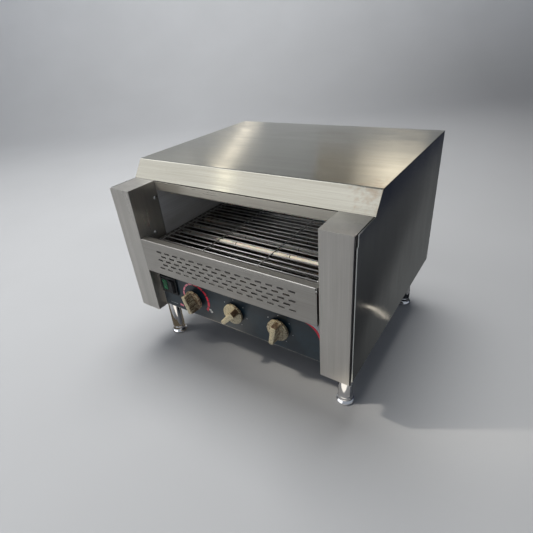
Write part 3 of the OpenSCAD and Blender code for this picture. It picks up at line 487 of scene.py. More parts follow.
def row_tree():
    """a row of copies of one piece, a step apart"""
    tree, g, out = new_tree("row of copies", [
        ("Piece", "Object"), ("Count", "Int"), ("First", "Vector"), ("Step", "Vector"),
        ("Material", "Material"), ("Second material", "Material")])
    index = add(tree, "GeometryNodeInputIndex")
    moved = add(tree, "ShaderNodeVectorMath", {0: g["Step"], "Scale": index}, operation="SCALE")
    place = add(tree, "ShaderNodeVectorMath", {0: moved, 1: g["First"]}, operation="ADD")
    points = add(tree, "GeometryNodePoints", {"Count": g["Count"], "Position": place})
    piece = add(tree, "GeometryNodeObjectInfo", {"Object": g["Piece"]}, transform_space="ORIGINAL")
    copies = add(tree, "GeometryNodeInstanceOnPoints",
                 {"Points": points, "Instance": piece.outputs["Geometry"]})
    return end_tree(tree, copies, g, out)


def loop_tree():
    """copies round a closed loop: a cross piece on each point, and links on to the next point"""
    tree, g, out = new_tree("loop of links", [
        ("Cross piece", "Object"), ("Link", "Object"), ("Link rows", "Object"),
        ("Material", "Material"), ("Second material", "Material")])
    here = add(tree, "GeometryNodeInputPosition")
    index = add(tree, "GeometryNodeInputIndex")
    count = add(tree, "GeometryNodeAttributeDomainSize", {"Geometry": g["Geometry"]},
                component="MESH")
    step = add(tree, "ShaderNodeMath", {0: index, 1: 1.0}, operation="ADD")
    following = add(tree, "ShaderNodeMath", {0: step, 1: count.outputs["Point Count"]},
                    operation="MODULO")
    there = add(tree, "GeometryNodeSampleIndex",
                {"Geometry": g["Geometry"]}, data_type="FLOAT_VECTOR", domain="POINT")
    tree.links.new(here.outputs[0], there.inputs["Value"])
    tree.links.new(following.outputs[0], there.inputs["Index"])
    along = add(tree, "ShaderNodeVectorMath", {0: there, 1: here}, operation="SUBTRACT")
    turn = add(tree, "FunctionNodeAlignRotationToVector", {"Vector": along},
               axis="Y", pivot_axis="X")
    # the turn is stored while the loop still has its points in order
    turned = add(tree, "GeometryNodeStoreNamedAttribute",
                 {"Geometry": g["Geometry"], "Name": "turn", "Value": turn},
                 data_type="QUATERNION", domain="POINT")
    points = add(tree, "GeometryNodeMeshToPoints", {"Mesh": turned})
    stored = add(tree, "GeometryNodeInputNamedAttribute", {"Name": "turn"}, data_type="QUATERNION")
    cross = add(tree, "GeometryNodeObjectInfo", {"Object": g["Cross piece"]},
                transform_space="ORIGINAL")
    rods = add(tree, "GeometryNodeInstanceOnPoints",
               {"Points": points, "Instance": cross.outputs["Geometry"], "Rotation": stored})
    link = add(tree, "GeometryNodeObjectInfo", {"Object": g["Link"]}, transform_space="ORIGINAL")
    rows = add(tree, "GeometryNodeObjectInfo", {"Object": g["Link rows"]},
               transform_space="ORIGINAL")
    row_points = add(tree, "GeometryNodeMeshToPoints", {"Mesh": rows.outputs["Geometry"]})
    one_set = add(tree, "GeometryNodeInstanceOnPoints",
                  {"Points": row_points, "Instance": link.outputs["Geometry"]})
    links = add(tree, "GeometryNodeInstanceOnPoints",
                {"Points": points, "Instance": one_set, "Rotation": stored})
    both = add(tree, "GeometryNodeJoinGeometry", {"Geometry": rods})
    tree.links.new(links.outputs[0], both.inputs[0])
    return end_tree(tree, both, g, out)


def fasteners_tree():
    """one fastener on each marked point, facing its own way and turned at random about its axis"""
    tree, g, out = new_tree("fasteners", [
        ("Fastener", "Object"), ("Seed", "Int"), ("Material", "Material"),
        ("Second material", "Material")])
    facing = add(tree, "GeometryNodeInputNamedAttribute", {"Name": "facing"},
                 data_type="FLOAT_VECTOR")
    turn = add(tree, "FunctionNodeAlignRotationToVector", {"Vector": facing}, axis="Z")
    spin = add(tree, "FunctionNodeRandomValue", {"Seed": g["Seed"], 3: 2 * pi}, data_type="FLOAT")
    spun = add(tree, "ShaderNodeCombineXYZ", {"Z": spin.outputs[1]})
    local = add(tree, "FunctionNodeEulerToRotation", {0: spun})
    whole = add(tree, "FunctionNodeRotateRotation", {0: turn, 1: local}, rotation_space="LOCAL")
    piece = add(tree, "GeometryNodeObjectInfo", {"Object": g["Fastener"]},
                transform_space="ORIGINAL")
    points = add(tree, "GeometryNodeMeshToPoints", {"Mesh": g["Geometry"]})
    copies = add(tree, "GeometryNodeInstanceOnPoints",
                 {"Points": points, "Instance": piece.outputs["Geometry"], "Rotation": whole})
    return end_tree(tree, copies, g, out)


# ---------- finishes ----------

def start_material(name, values):
    """a material with its shader alone, on whose own sockets goes what is the same all over;
    returns its tree, its shader and the piece's coordinates"""
    material = bpy.data.materials.new(name)
    material.use_nodes = True
    tree = material.node_tree
    shader = tree.nodes["Principled BSDF"]
    set_inputs(tree, shader, values)
    return tree, shader, add(tree, "ShaderNodeTexCoord").outputs["Object"]


def brushed_steel(name, tone, shade, grain, roughness, spread=0.6, stain=0.1, film=0.0,
                  burnt=None):
    """stainless sheet brushed along one axis: fine lines along the grain, highlights drawn out
    across it, and faint handling marks that change the gloss; film is the share of dull grease
    and oxide over the metal; a burnt place, (x, y, z, reach) in millimetres, is tinged brown"""
    tree, shader, place = start_material(name, {"Metallic": 1.0 - film, "Anisotropic": spread})
    index = "xyz".index(grain)
    # lines, bands and clouds, by width across the grain and length along it, in metres; the
    # real lines are 0.1 mm wide, and the narrowest that can show is about 1 mm
    noises = []
    for width, length, detail in ((0.0009, 0.11, 2.0), (0.010, 0.5, 2.0), (0.035, 0.12, 3.0)):
        scale = [1 / width] * 3
        scale[index] = 1 / length
        drawn_out = add(tree, "ShaderNodeMapping", {"Vector": place, "Scale": scale})
        noises.append(add(tree, "ShaderNodeTexNoise",
                          {"Vector": drawn_out, "Scale": 1.0, "Detail": detail}))
    lines, bands, clouds = noises
    part = add(tree, "ShaderNodeMath", {0: lines, 1: 0.6}, operation="MULTIPLY")
    streak = add(tree, "ShaderNodeMath", {0: bands, 1: 0.4, 2: part}, operation="MULTIPLY_ADD")
    level = add(tree, "ShaderNodeMapRange", {0: streak, 1: 0.35, 2: 0.65})
    colour = add(tree, "ShaderNodeMix", {0: level, 6: linear(shade), 7: linear(tone)},
                 data_type="RGBA")
    marks = add(tree, "ShaderNodeMapRange", {0: clouds, 1: 0.45, 2: 0.75, 4: stain})
    base = add(tree, "ShaderNodeMix", {0: marks, 6: colour.outputs[2], 7: linear("#6f675c")},
               data_type="RGBA").outputs[2]
    if burnt:
        away = add(tree, "ShaderNodeVectorMath", {0: place, 1: placed(*burnt[:3])},
                   operation="DISTANCE")
        near = add(tree, "ShaderNodeMapRange",
                   {0: away.outputs["Value"], 2: burnt[3] * MM, 3: 0.30, 4: -0.05})
        # the tinge is uneven over 8 mm or so
        specks = add(tree, "ShaderNodeTexNoise",
                     {"Vector": place, "Scale": 1 / 0.008, "Detail": 5.0})
        heavy = add(tree, "ShaderNodeMath", {0: specks, 1: near}, operation="ADD")
        amount = add(tree, "ShaderNodeMapRange", {0: heavy, 1: 0.60, 2: 0.95, 4: 0.40})
        base = add(tree, "ShaderNodeMix", {0: amount, 6: base, 7: linear("#6b4a26")},
                   data_type="RGBA").outputs[2]
    gloss = add(tree, "ShaderNodeMapRange", {
        0: clouds, 1: 0.3, 2: 0.7, 3: roughness - 0.03, 4: roughness + 0.03 + 0.2 * stain})
    lined = add(tree, "ShaderNodeMath", {0: level, 1: -0.05, 2: gloss}, operation="MULTIPLY_ADD")
    # the highlights are drawn out across the grain
    across = add(tree, "ShaderNodeCombineXYZ", {i: float(i != index) for i in range(3)})
    bump = add(tree, "ShaderNodeBump",
               {"Height": streak, "Strength": 0.08, "Distance": GRAIN_DEPTH})
    set_inputs(tree, shader,
               {"Base Color": base, "Roughness": lined, "Tangent": across, "Normal": bump})


def speckled(name, tone, shade, spot_mm, values, bump=0.1, rough=(0.4, 0.55)):
    """a plain moulded, cast or painted surface: two close tones in spots of a real size, with
    the gloss and a slight bump that follow them"""
    tree, shader, place = start_material(name, values)
    spots = add(tree, "ShaderNodeTexNoise",
                {"Vector": place, "Scale": 1000 / spot_mm, "Detail": 3.0})
    wide = add(tree, "ShaderNodeTexNoise",
               {"Vector": place, "Scale": 1000 / (12 * spot_mm), "Detail": 2.0})
    mixed = add(tree, "ShaderNodeMath", {0: spots, 1: wide}, operation="ADD")
    level = add(tree, "ShaderNodeMapRange", {0: mixed, 1: 0.75, 2: 1.25})
    colour = add(tree, "ShaderNodeMix", {0: level, 6: linear(shade), 7: linear(tone)},
                 data_type="RGBA")
    gloss = add(tree, "ShaderNodeMapRange", {0: wide, 1: 0.3, 2: 0.7, 3: rough[0], 4: rough[1]})
    relief = add(tree, "ShaderNodeBump",
                 {"Height": spots, "Strength": bump, "Distance": GRAIN_DEPTH})
    set_inputs(tree, shader,
               {"Base Color": colour.outputs[2], "Roughness": gloss, "Normal": relief})


def crusted_and_shaded_wire(name, tone, shade, crust_and_shade_colour):
    """drawn stainless wire: bright and satin on the first rods of the top run, painted dark under
    the hood and on the run below, as shade with some baked-on crust"""
    tree, shader, place = start_material(name, {"Metallic": 1.0})
    # patches of crust are 3 mm or so
    spots = add(tree, "ShaderNodeTexNoise", {"Vector": place, "Scale": 1 / 0.003, "Detail": 3.0})
    level = add(tree, "ShaderNodeMapRange", {0: spots, 1: 0.35, 2: 0.65})
    clean = add(tree, "ShaderNodeMix", {0: level, 6: linear(shade), 7: linear(tone)},
                data_type="RGBA")
    parts = add(tree, "ShaderNodeSeparateXYZ", {0: place})
    # further in, and on the run below, the wire is painted dark: painted shade, with some crust
    shade_further_in = add(tree, "ShaderNodeMapRange",
                 {0: parts.outputs["Y"], 1: FRONT + 0.045, 2: FRONT + 0.085, 3: 0.2})
    low = add(tree, "ShaderNodeMapRange", {0: parts.outputs["Z"], 1: 0.240, 2: 0.230})
    crust_and_shade_share = add(tree, "ShaderNodeMath", {0: shade_further_in, 1: low}, operation="MAXIMUM")
    uneven = add(tree, "ShaderNodeMath", {0: level, 1: -0.10, 2: crust_and_shade_share},
                 operation="MULTIPLY_ADD")
    colour = add(tree, "ShaderNodeMix", {0: uneven, 6: clean.outputs[2], 7: linear(crust_and_shade_colour)},
                 data_type="RGBA")
    gloss = add(tree, "ShaderNodeMapRange", {0: uneven, 1: 0.1, 2: 0.9, 3: 0.16, 4: 0.42})
    relief = add(tree, "ShaderNodeBump",
                 {"Height": spots, "Strength": 0.1, "Distance": GRAIN_DEPTH})
    set_inputs(tree, shader,
               {"Base Color": colour.outputs[2], "Roughness": gloss, "Normal": relief})


def browned_bakelite(name, tone, brown):
    """heat-browned phenolic moulding: pale khaki where fingers wear it, brown streaks on the sides;
    a face attribute says how brown a face is, from grime and from painted shade on the sides and
    the tail"""
    tree, shader, place = start_material(name, {"IOR": 1.55})
    grime = add(tree, "ShaderNodeAttribute", attribute_name="grime", attribute_type="GEOMETRY")
    # streaks 2 mm wide that run out from the panel
    drawn_out = add(tree, "ShaderNodeMapping",
                    {"Vector": place, "Scale": (1 / 0.002, 1 / 0.02, 1 / 0.003)})
    streaks = add(tree, "ShaderNodeTexNoise", {"Vector": drawn_out, "Scale": 1.0, "Detail": 4.0})
    spots = add(tree, "ShaderNodeTexNoise",
                {"Vector": place, "Scale": 1 / 0.0025, "Detail": 4.0})
    uneven = add(tree, "ShaderNodeMath", {0: streaks, 1: spots}, operation="ADD")
    centred = add(tree, "ShaderNodeMath", {0: uneven, 1: 1.0}, operation="SUBTRACT")
    amount = add(tree, "ShaderNodeMath", {0: centred, 1: 2.1, 2: grime.outputs["Fac"]},
                 operation="MULTIPLY_ADD", use_clamp=True)
    colour = add(tree, "ShaderNodeMix", {0: amount, 6: linear(tone), 7: linear(brown)},
                 data_type="RGBA")
    gloss = add(tree, "ShaderNodeMapRange", {0: spots, 1: 0.3, 2: 0.7, 3: 0.38, 4: 0.58})
    relief = add(tree, "ShaderNodeBump", {"Height": uneven, "Strength": 0.18, "Distance": 0.0004})
    set_inputs(tree, shader,
               {"Base Color": colour.outputs[2], "Roughness": gloss, "Normal": relief})


def frosted_quartz(name, tone, shade):
    """milky quartz glass round a coil: pale and satin, with the coil's turns just showing"""
    tree, shader, place = start_material(name, {
        "IOR": 1.46, "Subsurface Weight": 0.15, "Subsurface Scale": 0.004, "Coat Weight": 0.4,
        "Coat Roughness": 0.12})
    # the coil's turns are 3 mm apart
    turns = add(tree, "ShaderNodeTexWave",
                {"Vector": place, "Scale": 2 * pi / 20 / 0.003, "Distortion": 0.6, "Detail": 1.0},
                wave_type="BANDS", bands_direction="X")
    clouds = add(tree, "ShaderNodeTexNoise",
                 {"Vector": place, "Scale": 1 / 0.014, "Detail": 3.0})
    part = add(tree, "ShaderNodeMath", {0: clouds, 1: 0.9}, operation="MULTIPLY")
    level = add(tree, "ShaderNodeMath", {0: turns.outputs["Fac"], 1: 0.25, 2: part},
                operation="MULTIPLY_ADD", use_clamp=True)
    colour = add(tree, "ShaderNodeMix", {0: level, 6: linear(shade), 7: linear(tone)},
                 data_type="RGBA")
    # tubes further in are painted darker as shade, and the left end as shadow, with some browning
    # from crumbs
    parts = add(tree, "ShaderNodeSeparateXYZ", {0: place})
    shade_further_in = add(tree, "ShaderNodeMapRange",
                 {0: parts.outputs["Y"], 1: FRONT + 0.115, 2: FRONT + 0.20})
    left_end_shadow = add(tree, "ShaderNodeMapRange",
                   {0: parts.outputs["X"], 1: -0.075, 2: -0.10, 4: 0.6})
    shade_share = add(tree, "ShaderNodeMath", {0: shade_further_in, 1: left_end_shadow}, operation="MAXIMUM")
    shade_and_browning = add(tree, "ShaderNodeMath", {0: shade_share, 1: 0.92}, operation="MULTIPLY")
    shown = add(tree, "ShaderNodeMix", {0: shade_and_browning, 6: colour.outputs[2], 7: linear("#4a443c")},
                data_type="RGBA")
    gloss = add(tree, "ShaderNodeMapRange", {0: clouds, 1: 0.3, 2: 0.7, 3: 0.22, 4: 0.36})
    set_inputs(tree, shader, {"Base Color": shown.outputs[2], "Roughness": gloss})


def backdrop_paper(name, left, right, far):
    """seamless studio paper: matt pale grey, painted darker to one side and paler up the wall as
    shade and light, with faint mottling
    """
    tree, shader, place = start_material(name, {"Specular IOR Level": 0.2, "Roughness": 0.85})
    parts = add(tree, "ShaderNodeSeparateXYZ", {0: place})
    side = add(tree, "ShaderNodeMath", {0: parts.outputs["Y"], 1: 0.55, 2: parts.outputs["X"]},
               operation="MULTIPLY_ADD")
    across = add(tree, "ShaderNodeMapRange", {0: side, 1: -0.9, 2: 1.7})
    high = add(tree, "ShaderNodeMapRange", {0: parts.outputs["Z"], 2: 1.1})
    flat = add(tree, "ShaderNodeMix", {0: across, 6: linear(left), 7: linear(right)},
               data_type="RGBA")
    whole = add(tree, "ShaderNodeMix", {0: high, 6: flat.outputs[2], 7: linear(far)},
                data_type="RGBA")
    # blotches a third of a metre wide
    mottle = add(tree, "ShaderNodeTexNoise", {"Vector": place, "Scale": 1 / 0.35, "Detail": 2.0})
    faint = add(tree, "ShaderNodeMapRange", {0: mottle, 1: 0.3, 2: 0.7, 4: 0.06})
    shown = add(tree, "ShaderNodeMix", {0: faint, 6: whole.outputs[2], 7: linear("#8b8b8b")},
                data_type="RGBA")
    set_inputs(tree, shader, {"Base Color": shown.outputs[2]})


class FinishSettings(bpy.types.PropertyGroup):
    """gloss and colours of the sheet metal, and colours of the controls"""
    shell_roughness: FloatProperty(
        name="Shell roughness", description="Roughness of the brushed outer sheets",
        default=0.33, min=0.1, max=0.8, subtype="FACTOR")
    inner_roughness: FloatProperty(
        name="Inner roughness", description="Roughness of the heat-stained inner sheets",
        default=0.42, min=0.1, max=0.9, subtype="FACTOR")
    hood: colour_setting("Hood", "Brushed sheet of the hood", "#97968c")
    front: colour_setting("Front", "Brushed sheet of the guard and control panel", "#a29f9a")
    lintel: colour_setting("Lintel", "Brushed sheet of the front lintel", "#bcb8ae")
    pillars: colour_setting("Pillars", "Brushed sheet of the pillars and rear panel", "#bab7b2")
    sides: colour_setting("Sides", "Bright sheet of the side panels", "#b3b5b4")
    knob: colour_setting("Knobs", "Phenolic moulding where it is clean", "#c6bb9c")
    knob_brown: colour_setting("Browned knobs", "Phenolic moulding where it is browned", "#513b29")
    fascia: colour_setting("Fascia", "Printed film of the control fascia", "#112733")
    lens: colour_setting("Lens", "Tinted lens of the power switch", "#067a46")
    scale: colour_setting("Scale", "Red ink of the speed scale and the corner sweep", "#f52243")


class TOASTER_OT_finishes(bpy.types.Operator):
    """Make the finishes that the pieces share"""
    bl_idname = "toaster.finishes"
    bl_label = "Finishes"

    def execute(self, context):
        sizes = context.scene.toaster_finishes
        shell, inner = sizes.shell_roughness, sizes.inner_roughness
        # near black: painted shade for the guard's channel and the strip behind its slots, with
        # some soot and grease
        speckled("sooty_steel", "#100f0e", "#0a0908", 2.0, {"IOR": 1.5, "Specular IOR Level": 0.2},
                 bump=0.3, rough=(0.7, 0.85))
        # 304 stainless sheet, line-brushed: warm grey, streaky highlights; the hood is browned
        # round the right end of its crest
        brushed_steel("hood_steel", sizes.hood, "#88867c", "x", shell - 0.15, spread=0.4,
                      stain=0.06, film=0.03, burnt=(232, 88, 386, 60))
        brushed_steel("front_steel", sizes.front, "#918e89", "x", shell, spread=0.5,
                      stain=0.15, film=0.12)
        brushed_steel("lintel_steel", sizes.lintel, "#aba79d", "x", shell, spread=0.5,
                      stain=0.15, film=0.3)
        brushed_steel("pillar_steel", sizes.pillars, "#aba8a3", "z", shell, spread=0.5,
                      stain=0.1, film=0.12)
        # bright-rolled sheet, hardly brushed: it mirrors the floor
        brushed_steel("side_steel", sizes.sides, "#abadac", "z", shell - 0.17, spread=0.2,
                      stain=0.05)
        # mill-finish sheet, straw and brown from the heat
        brushed_steel("stained_steel", "#7a756e", "#5f5a54", "y", inner, spread=0.3,
                      stain=0.4, film=0.3)
        # the same sheet on the inner walls, greyed by a dull bloom
        brushed_steel("wall_steel", "#c4c7cd", "#b0b3ba", "y", inner, spread=0.3,
                      stain=0.3, film=0.7)
        # cold-rolled stainless sheet left plain: dull grey, hardly lined
        brushed_steel("plain_steel", "#9c9a96", "#85837f", "y", inner, spread=0.3, stain=0.2)
        # bright-rolled sheet of the reflectors, slide and tray: clear, drawn-out reflections
        brushed_steel("bright_sheet", "#8e8c88", "#797772", "x", 0.26, spread=0.3, stain=0.3)
        # drawn stainless wire: thin bright lines in front, painted dark further in and on the run
        # below, as shade with some crust
        crusted_and_shaded_wire("belt_wire", "#b4b3b1", "#86847f", "#1b1917")
        for metal, tone, shade, spot, bump, rough in (
                # drawn and polished bar: clean, long highlights
                ("polished_bar", "#c9c8c5", "#b4b2ae", 4.0, 0.05, (0.12, 0.22)),
                # chromium plate: near-mirror, with faint scuffs
                ("leg_chrome", "#aea89c", "#958f83", 2.2, 0.04, (0.06, 0.14)),
                # zinc-plated screw: pale, with a soft shine
                ("zinc_screw", "#dad8d3", "#b9b7b1", 1.0, 0.08, (0.22, 0.36)),
                # hardened chain steel: dark and wet-looking with oil
                ("oiled_steel", "#5d5a56", "#3f3c39", 1.2, 0.15, (0.32, 0.5)),
                # sintered bronze: matt and grainy
                ("sintered_bronze", "#a87f3e", "#7f5d2c", 0.6, 0.3, (0.38, 0.5))):
            speckled(metal, tone, shade, spot, {"Metallic": 1.0}, bump, rough)
        # printed polyester film: satin, near black with a green-blue cast
        speckled("fascia_film", sizes.fascia, "#0c1e28", 9.0, {"IOR": 1.5}, bump=0.06,
                 rough=(0.3, 0.42))
        # screen-printed inks: flat, even and satin
        for ink, tone, shade in (("red_ink", sizes.scale, "#dd1c3a"),
                                 ("pink_ink", "#fb98aa", "#f08296"),
                                 ("white_ink", "#f7f6f2", "#eae9e5"),
                                 ("grey_ink", "#c3c6c8", "#b2b5b7")):
            speckled(ink, tone, shade, 0.8, {"IOR": 1.5}, bump=0.05, rough=(0.35, 0.45))
        # moulded nylon: a fine spark-eroded grain that scatters the shine
        speckled("black_nylon", "#0c1016", "#07090d", 0.5, {"IOR": 1.53, "Specular IOR Level": 0.3},
                 bump=0.2, rough=(0.4, 0.55))
        # tinted polycarbonate lens: deep green, with a little light inside
        speckled("green_lens", sizes.lens, "#024428", 2.5,
                 {"IOR": 1.45, "Specular IOR Level": 0.25, "Subsurface Weight": 0.2,
                  "Subsurface Scale": 0.002}, bump=0.3, rough=(0.2, 0.35))
        # steatite: unglazed, cream, dusty
        speckled("steatite", "#e0d9c8", "#cbc3b0", 0.9, {"IOR": 1.6}, bump=0.2, rough=(0.6, 0.75))
        # stoved enamel on the motor: slate grey and slightly pebbled
        speckled("motor_enamel", "#4a5058", "#3c4249", 0.7, {"IOR": 1.5}, bump=0.2,
                 rough=(0.35, 0.48))
        # frosted quartz glass: milky, with a soft line of light along it
        frosted_quartz("frosted_quartz", "#f6f2e8", "#dcd5c6")
        # phenolic moulding: matt, chalky where it is worn, streaked brown by the heat, and painted
        # darker on its sides as shade
        browned_bakelite("browned_bakelite", sizes.knob, sizes.knob_brown)
        return {"FINISHED"}


# ---------- shell ----------

class ShellSettings(bpy.types.PropertyGroup):
    """sizes of the folded outer sheets"""
    fold_radius: FloatProperty(
        name="Fold radius", description="Outer radius of the folds in the shell",
        default=0.0014, min=0.0004, max=0.004, unit="LENGTH")
    edge_radius: FloatProperty(
        name="Edge radius", description="Radius left on the sheets' cut edges",
        default=0.00025, min=0.00005, max=0.0008, unit="LENGTH")


class TOASTER_OT_shell(bpy.types.Operator):
    """Build the hood, lintel, pillars, side panels and control panel"""
    bl_idname = "toaster.shell"
    bl_label = "Outer shell"

    def execute(self, context):
        sizes = context.scene.toaster_shell
        fold, edge = sizes.fold_radius / MM, sizes.edge_radius / MM
        for side in ("left", "right"):
            pillar = side + "_front_pillar"
            low, high = node_mm(pillar)
            folds = [("z", [(low.x, 0), (high.x, 0)], fold),
                     ("x", [(0, high.z)], fold * 0.7),
                     ("y", [(low.x, high.z), (high.x, high.z)], fold * 0.7)]
            obj = sheet_from_node(pillar + "_sheet", pillar, edge, folds)
            hand_over(obj, HOUSING, "shell_steel", pillar, materials=["pillar_steel"])
            panel = side + "_side_panel"
            obj = sheet_from_node(panel + "_sheet", panel, edge * 1.3)
            hand_over(obj, HOUSING, "shell_steel", panel, materials=["side_steel"])
        crest = (85.0, node_mm("hood")[1].z)
        obj = sheet_from_node("hood_sheet", "hood", edge * 1.3, [("x", [crest], fold * 1.2)])
        hand_over(obj, HOUSING, "shell_steel", "hood", materials=["hood_steel"])
        low = node_mm("front_lintel")[0]
        obj = sheet_from_node("front_lintel_sheet", "front_lintel", edge,
                              [("x", [(low.y, low.z)], fold * 0.7)])
        hand_over(obj, HOUSING, "shell_steel", "front_lintel", materials=["lintel_steel"])
        low = node_mm("control_panel")[0]
        # the strip that shows through the guard's slots is painted near black, as shade with some
        # soot
        strip = node_mm("front_guard")[0].z + 0.6
        obj = sheet_from_node("control_panel_sheet", "control_panel", edge,
                              [("x", [(low.y, low.z)], fold * 0.35)], strip)
        hand_over(obj, HOUSING, "shell_steel", "control_panel",
                  materials=["front_steel", "sooty_steel"])
        return {"FINISHED"}


class GuardSettings(bpy.types.PropertyGroup):
    """slots of the front guard"""
    slots: IntProperty(name="Slots", description="Slots in a long row", default=15, min=5, max=17)
    rows: IntProperty(name="Rows", description="Rows of slots", default=5, min=1, max=5)
    pitch: FloatProperty(name="Pitch", description="From one slot to the next",
                         default=0.020, min=0.014, max=0.022, unit="LENGTH")
    row_pitch: FloatProperty(name="Row pitch", description="From one row to the next",
                             default=0.00845, min=0.005, max=0.009, unit="LENGTH")
    length: FloatProperty(name="Slot length", description="Length of a slot",
                          default=0.012, min=0.006, max=0.016, unit="LENGTH")
    height: FloatProperty(name="Slot height", description="Height of a slot",
                          default=0.0030, min=0.0015, max=0.004, unit="LENGTH")


class TOASTER_OT_guard(bpy.types.Operator):
    """Build the slotted front guard"""
    bl_idname = "toaster.guard"
    bl_label = "Front guard"

    def execute(self, context):
        sizes = context.scene.toaster_guard
        low, high = node_mm("front_guard")
        left, right, bottom, top = -183.5, 181.0, low.z, high.z
        sheet, depth, flange, ledge, ledge_depth, first_row = 1.2, 15, 16.7, 250.0, 28, 17.7
        back = depth - sheet
        profile = [(0, bottom), (flange, bottom), (flange, bottom + sheet),
                   (sheet, bottom + sheet), (sheet, top - sheet), (back, top - sheet),
                   (back, ledge - sheet), (ledge_depth, ledge - sheet), (ledge_depth, ledge),
                   (depth, ledge), (depth, top), (0, top)]
        bm = bmesh.new()
        add_prism(bm, profile, left, right, "x")
        round_folds(bm, "x", [(0, bottom), (0, top), (depth, top), (back, ledge - sheet)], 1.5)
        round_folds(bm, "x", [(sheet, bottom + sheet), (sheet, top - sheet), (back, top - sheet),
                              (depth, ledge)], 0.5, 3)
        body = from_bmesh(bm, "front_guard_sheet")
        run_tree(body, punched_slots_tree(), {
            "Slots in a row": sizes.slots, "Rows": sizes.rows, "Pitch": sizes.pitch,
            "Row pitch": sizes.row_pitch, "Slot length": sizes.length,
            "Slot height": sizes.height, "Corner radius": sizes.height * 0.32,
            "Depth": 4 * sheet * MM, "Middle of top row": placed(0, 0, top - first_row),
            "Material": finish("front_steel")})
        notch = bmesh.new()
        add_box(notch, (right - 2, -1, top - 9), (right + 1, sheet + 0.05, top + 1))
        cut_away(body, from_bmesh(notch, "guard_notch"))
        # end caps inside the channel, and ears that reach the pillars
        bm = bmesh.new()
        bm.from_mesh(body.data)
        for x in (left, right - sheet):
            add_box(bm, (x + 0.02, sheet + 0.02, bottom + sheet + 0.02),
                    (x + sheet, back - 0.02, top - sheet - 0.02))
        for x0, x1 in ((low.x, left + sheet), (right - sheet, high.x)):
            add_box(bm, (x0, back + 0.02, top - 6), (x1, high.y, top - sheet - 0.2))
        bmesh.ops.recalc_face_normals(bm, faces=bm.faces)
        bm.to_mesh(body.data)
        bm.free()
        ease_edges(body, 0.16, 1, 40)
        # the channel's inside and the slots' walls are painted near black, as shade with some soot
        for face in body.data.polygons:
            x, y, z = face.center.x / MM, (face.center.y - FRONT) / MM, face.center.z / MM
            if left + 0.5 < x < right - 2.5 and 0.4 < y < 14.5 and bottom + 0.9 < z < top - 0.9:
                face.material_index = 1
        hand_over(body, HOUSING, "shell_steel", "front_guard",
                  materials=["front_steel", "sooty_steel"])
        return {"FINISHED"}


class TOASTER_OT_rear(bpy.types.Operator):
    """Build the rear panel with its windows and vents, and the cord's gland"""
    bl_idname = "toaster.rear"
    bl_label = "Rear panel and gland"

    def execute(self, context):
        low, high = node_mm("rear_panel")
        gland_low, gland_high = node_mm("cable_gland")
        gland = (gland_low + gland_high) / 2
        outlet, tray_mouth = (-178, 230, 178, 331.5), (-174, 178, 174, 197.7)
        panel = plate_with_windows("rear_panel_sheet", low, high, [outlet, tray_mouth])
        tree = punched_slots_tree()
        for x in (-100, 100):
            run_tree(panel, tree, {
                "Slots in a row": 9, "Rows": 1, "Pitch": 0.009, "Row pitch": 0.01,
                "Slot length": 0.004, "Slot height": 0.034, "Corner radius": 0.0019,
                "Depth": 0.006, "Middle of top row": placed(x, high.y, 146.5),
                "Material": finish("pillar_steel")})
        hole = bmesh.new()
        add_lathe(hole, [(10.05, -4), (10.05, 4)], (gland.x, high.y, gland.z), "y", 32)
        cut_away(panel, from_bmesh(hole, "gland_hole"))
        ease_edges(panel, 0.2, 1, 40)
        hand_over(panel, HOUSING, "shell_steel", "rear_panel", materials=["pillar_steel"])

        # thread, inner nut, outer hexagon and ribbed cap, as (radius, y) round the bore
        bm = bmesh.new()
        at, bore, ribs = (gland.x, 0, gland.z), 5.0, 18
        for steps, outline in (
                (32, [(9.4, 408.6), (9.8, 409.2), (9.8, 418)]),
                (6, [(12.4, 417.2), (12.9, 417.8), (12.9, 420.3)]),
                (6, [(9.9, 420), (9.9, 422.1), (13.0, 422.1), (13.5, 422.7), (13.5, 425.2),
                     (12.6, 426.2)]),
                (36, [(10, 425.8), (10, 428.4), (9.4, 430), (8.2, 431.3), (6.6, 431.9)])):
            start, end = (bore, outline[0][1]), (bore, outline[-1][1])
            add_lathe(bm, [start, *outline, end, start], at, "y", steps)
        for x, z in arc((gland.x, gland.z), 9.9, 0, 340, ribs - 1):
            add_wire(bm, [(x, 426.3, z), (x, 428.2, z)], 0.45, 5)
        obj = ease_edges(from_bmesh(bm, "cable_gland_moulding"), 0.3, 2, 40)
        hand_over(obj, HOUSING, "black_plastic", "cable_gland", materials=["black_nylon"])
        return {"FINISHED"}


# ---------- chamber and heaters ----------

class TOASTER_OT_chamber(bpy.types.Operator):
    """Build the chamber's walls, floor, reflectors, slide and base pan"""
    bl_idname = "toaster.chamber"
    bl_label = "Toasting chamber"

    def execute(self, context):
        edge = context.scene.toaster_shell.edge_radius / MM
        for node, slot, material in (
                ("left_inner_wall", "inner_steel", "wall_steel"),
                ("right_inner_wall", "inner_steel", "wall_steel"),
                ("heat_shield", "inner_steel", "stained_steel"),
                ("base_pan", "inner_steel", "plain_steel"),
                ("tray_runners", "inner_steel", "plain_steel"),
                ("upper_reflector", "bright_steel", "bright_sheet"),
                ("lower_reflector", "bright_steel", "bright_sheet"),
                ("discharge_slide", "bright_steel", "bright_sheet"),
                ("belt_frame_left", "inner_steel", "stained_steel"),
                ("belt_frame_right", "inner_steel", "stained_steel")):
            obj = sheet_from_node(node + "_sheet", node, edge)
            hand_over(obj, HOUSING, slot, node, materials=[material])
        return {"FINISHED"}


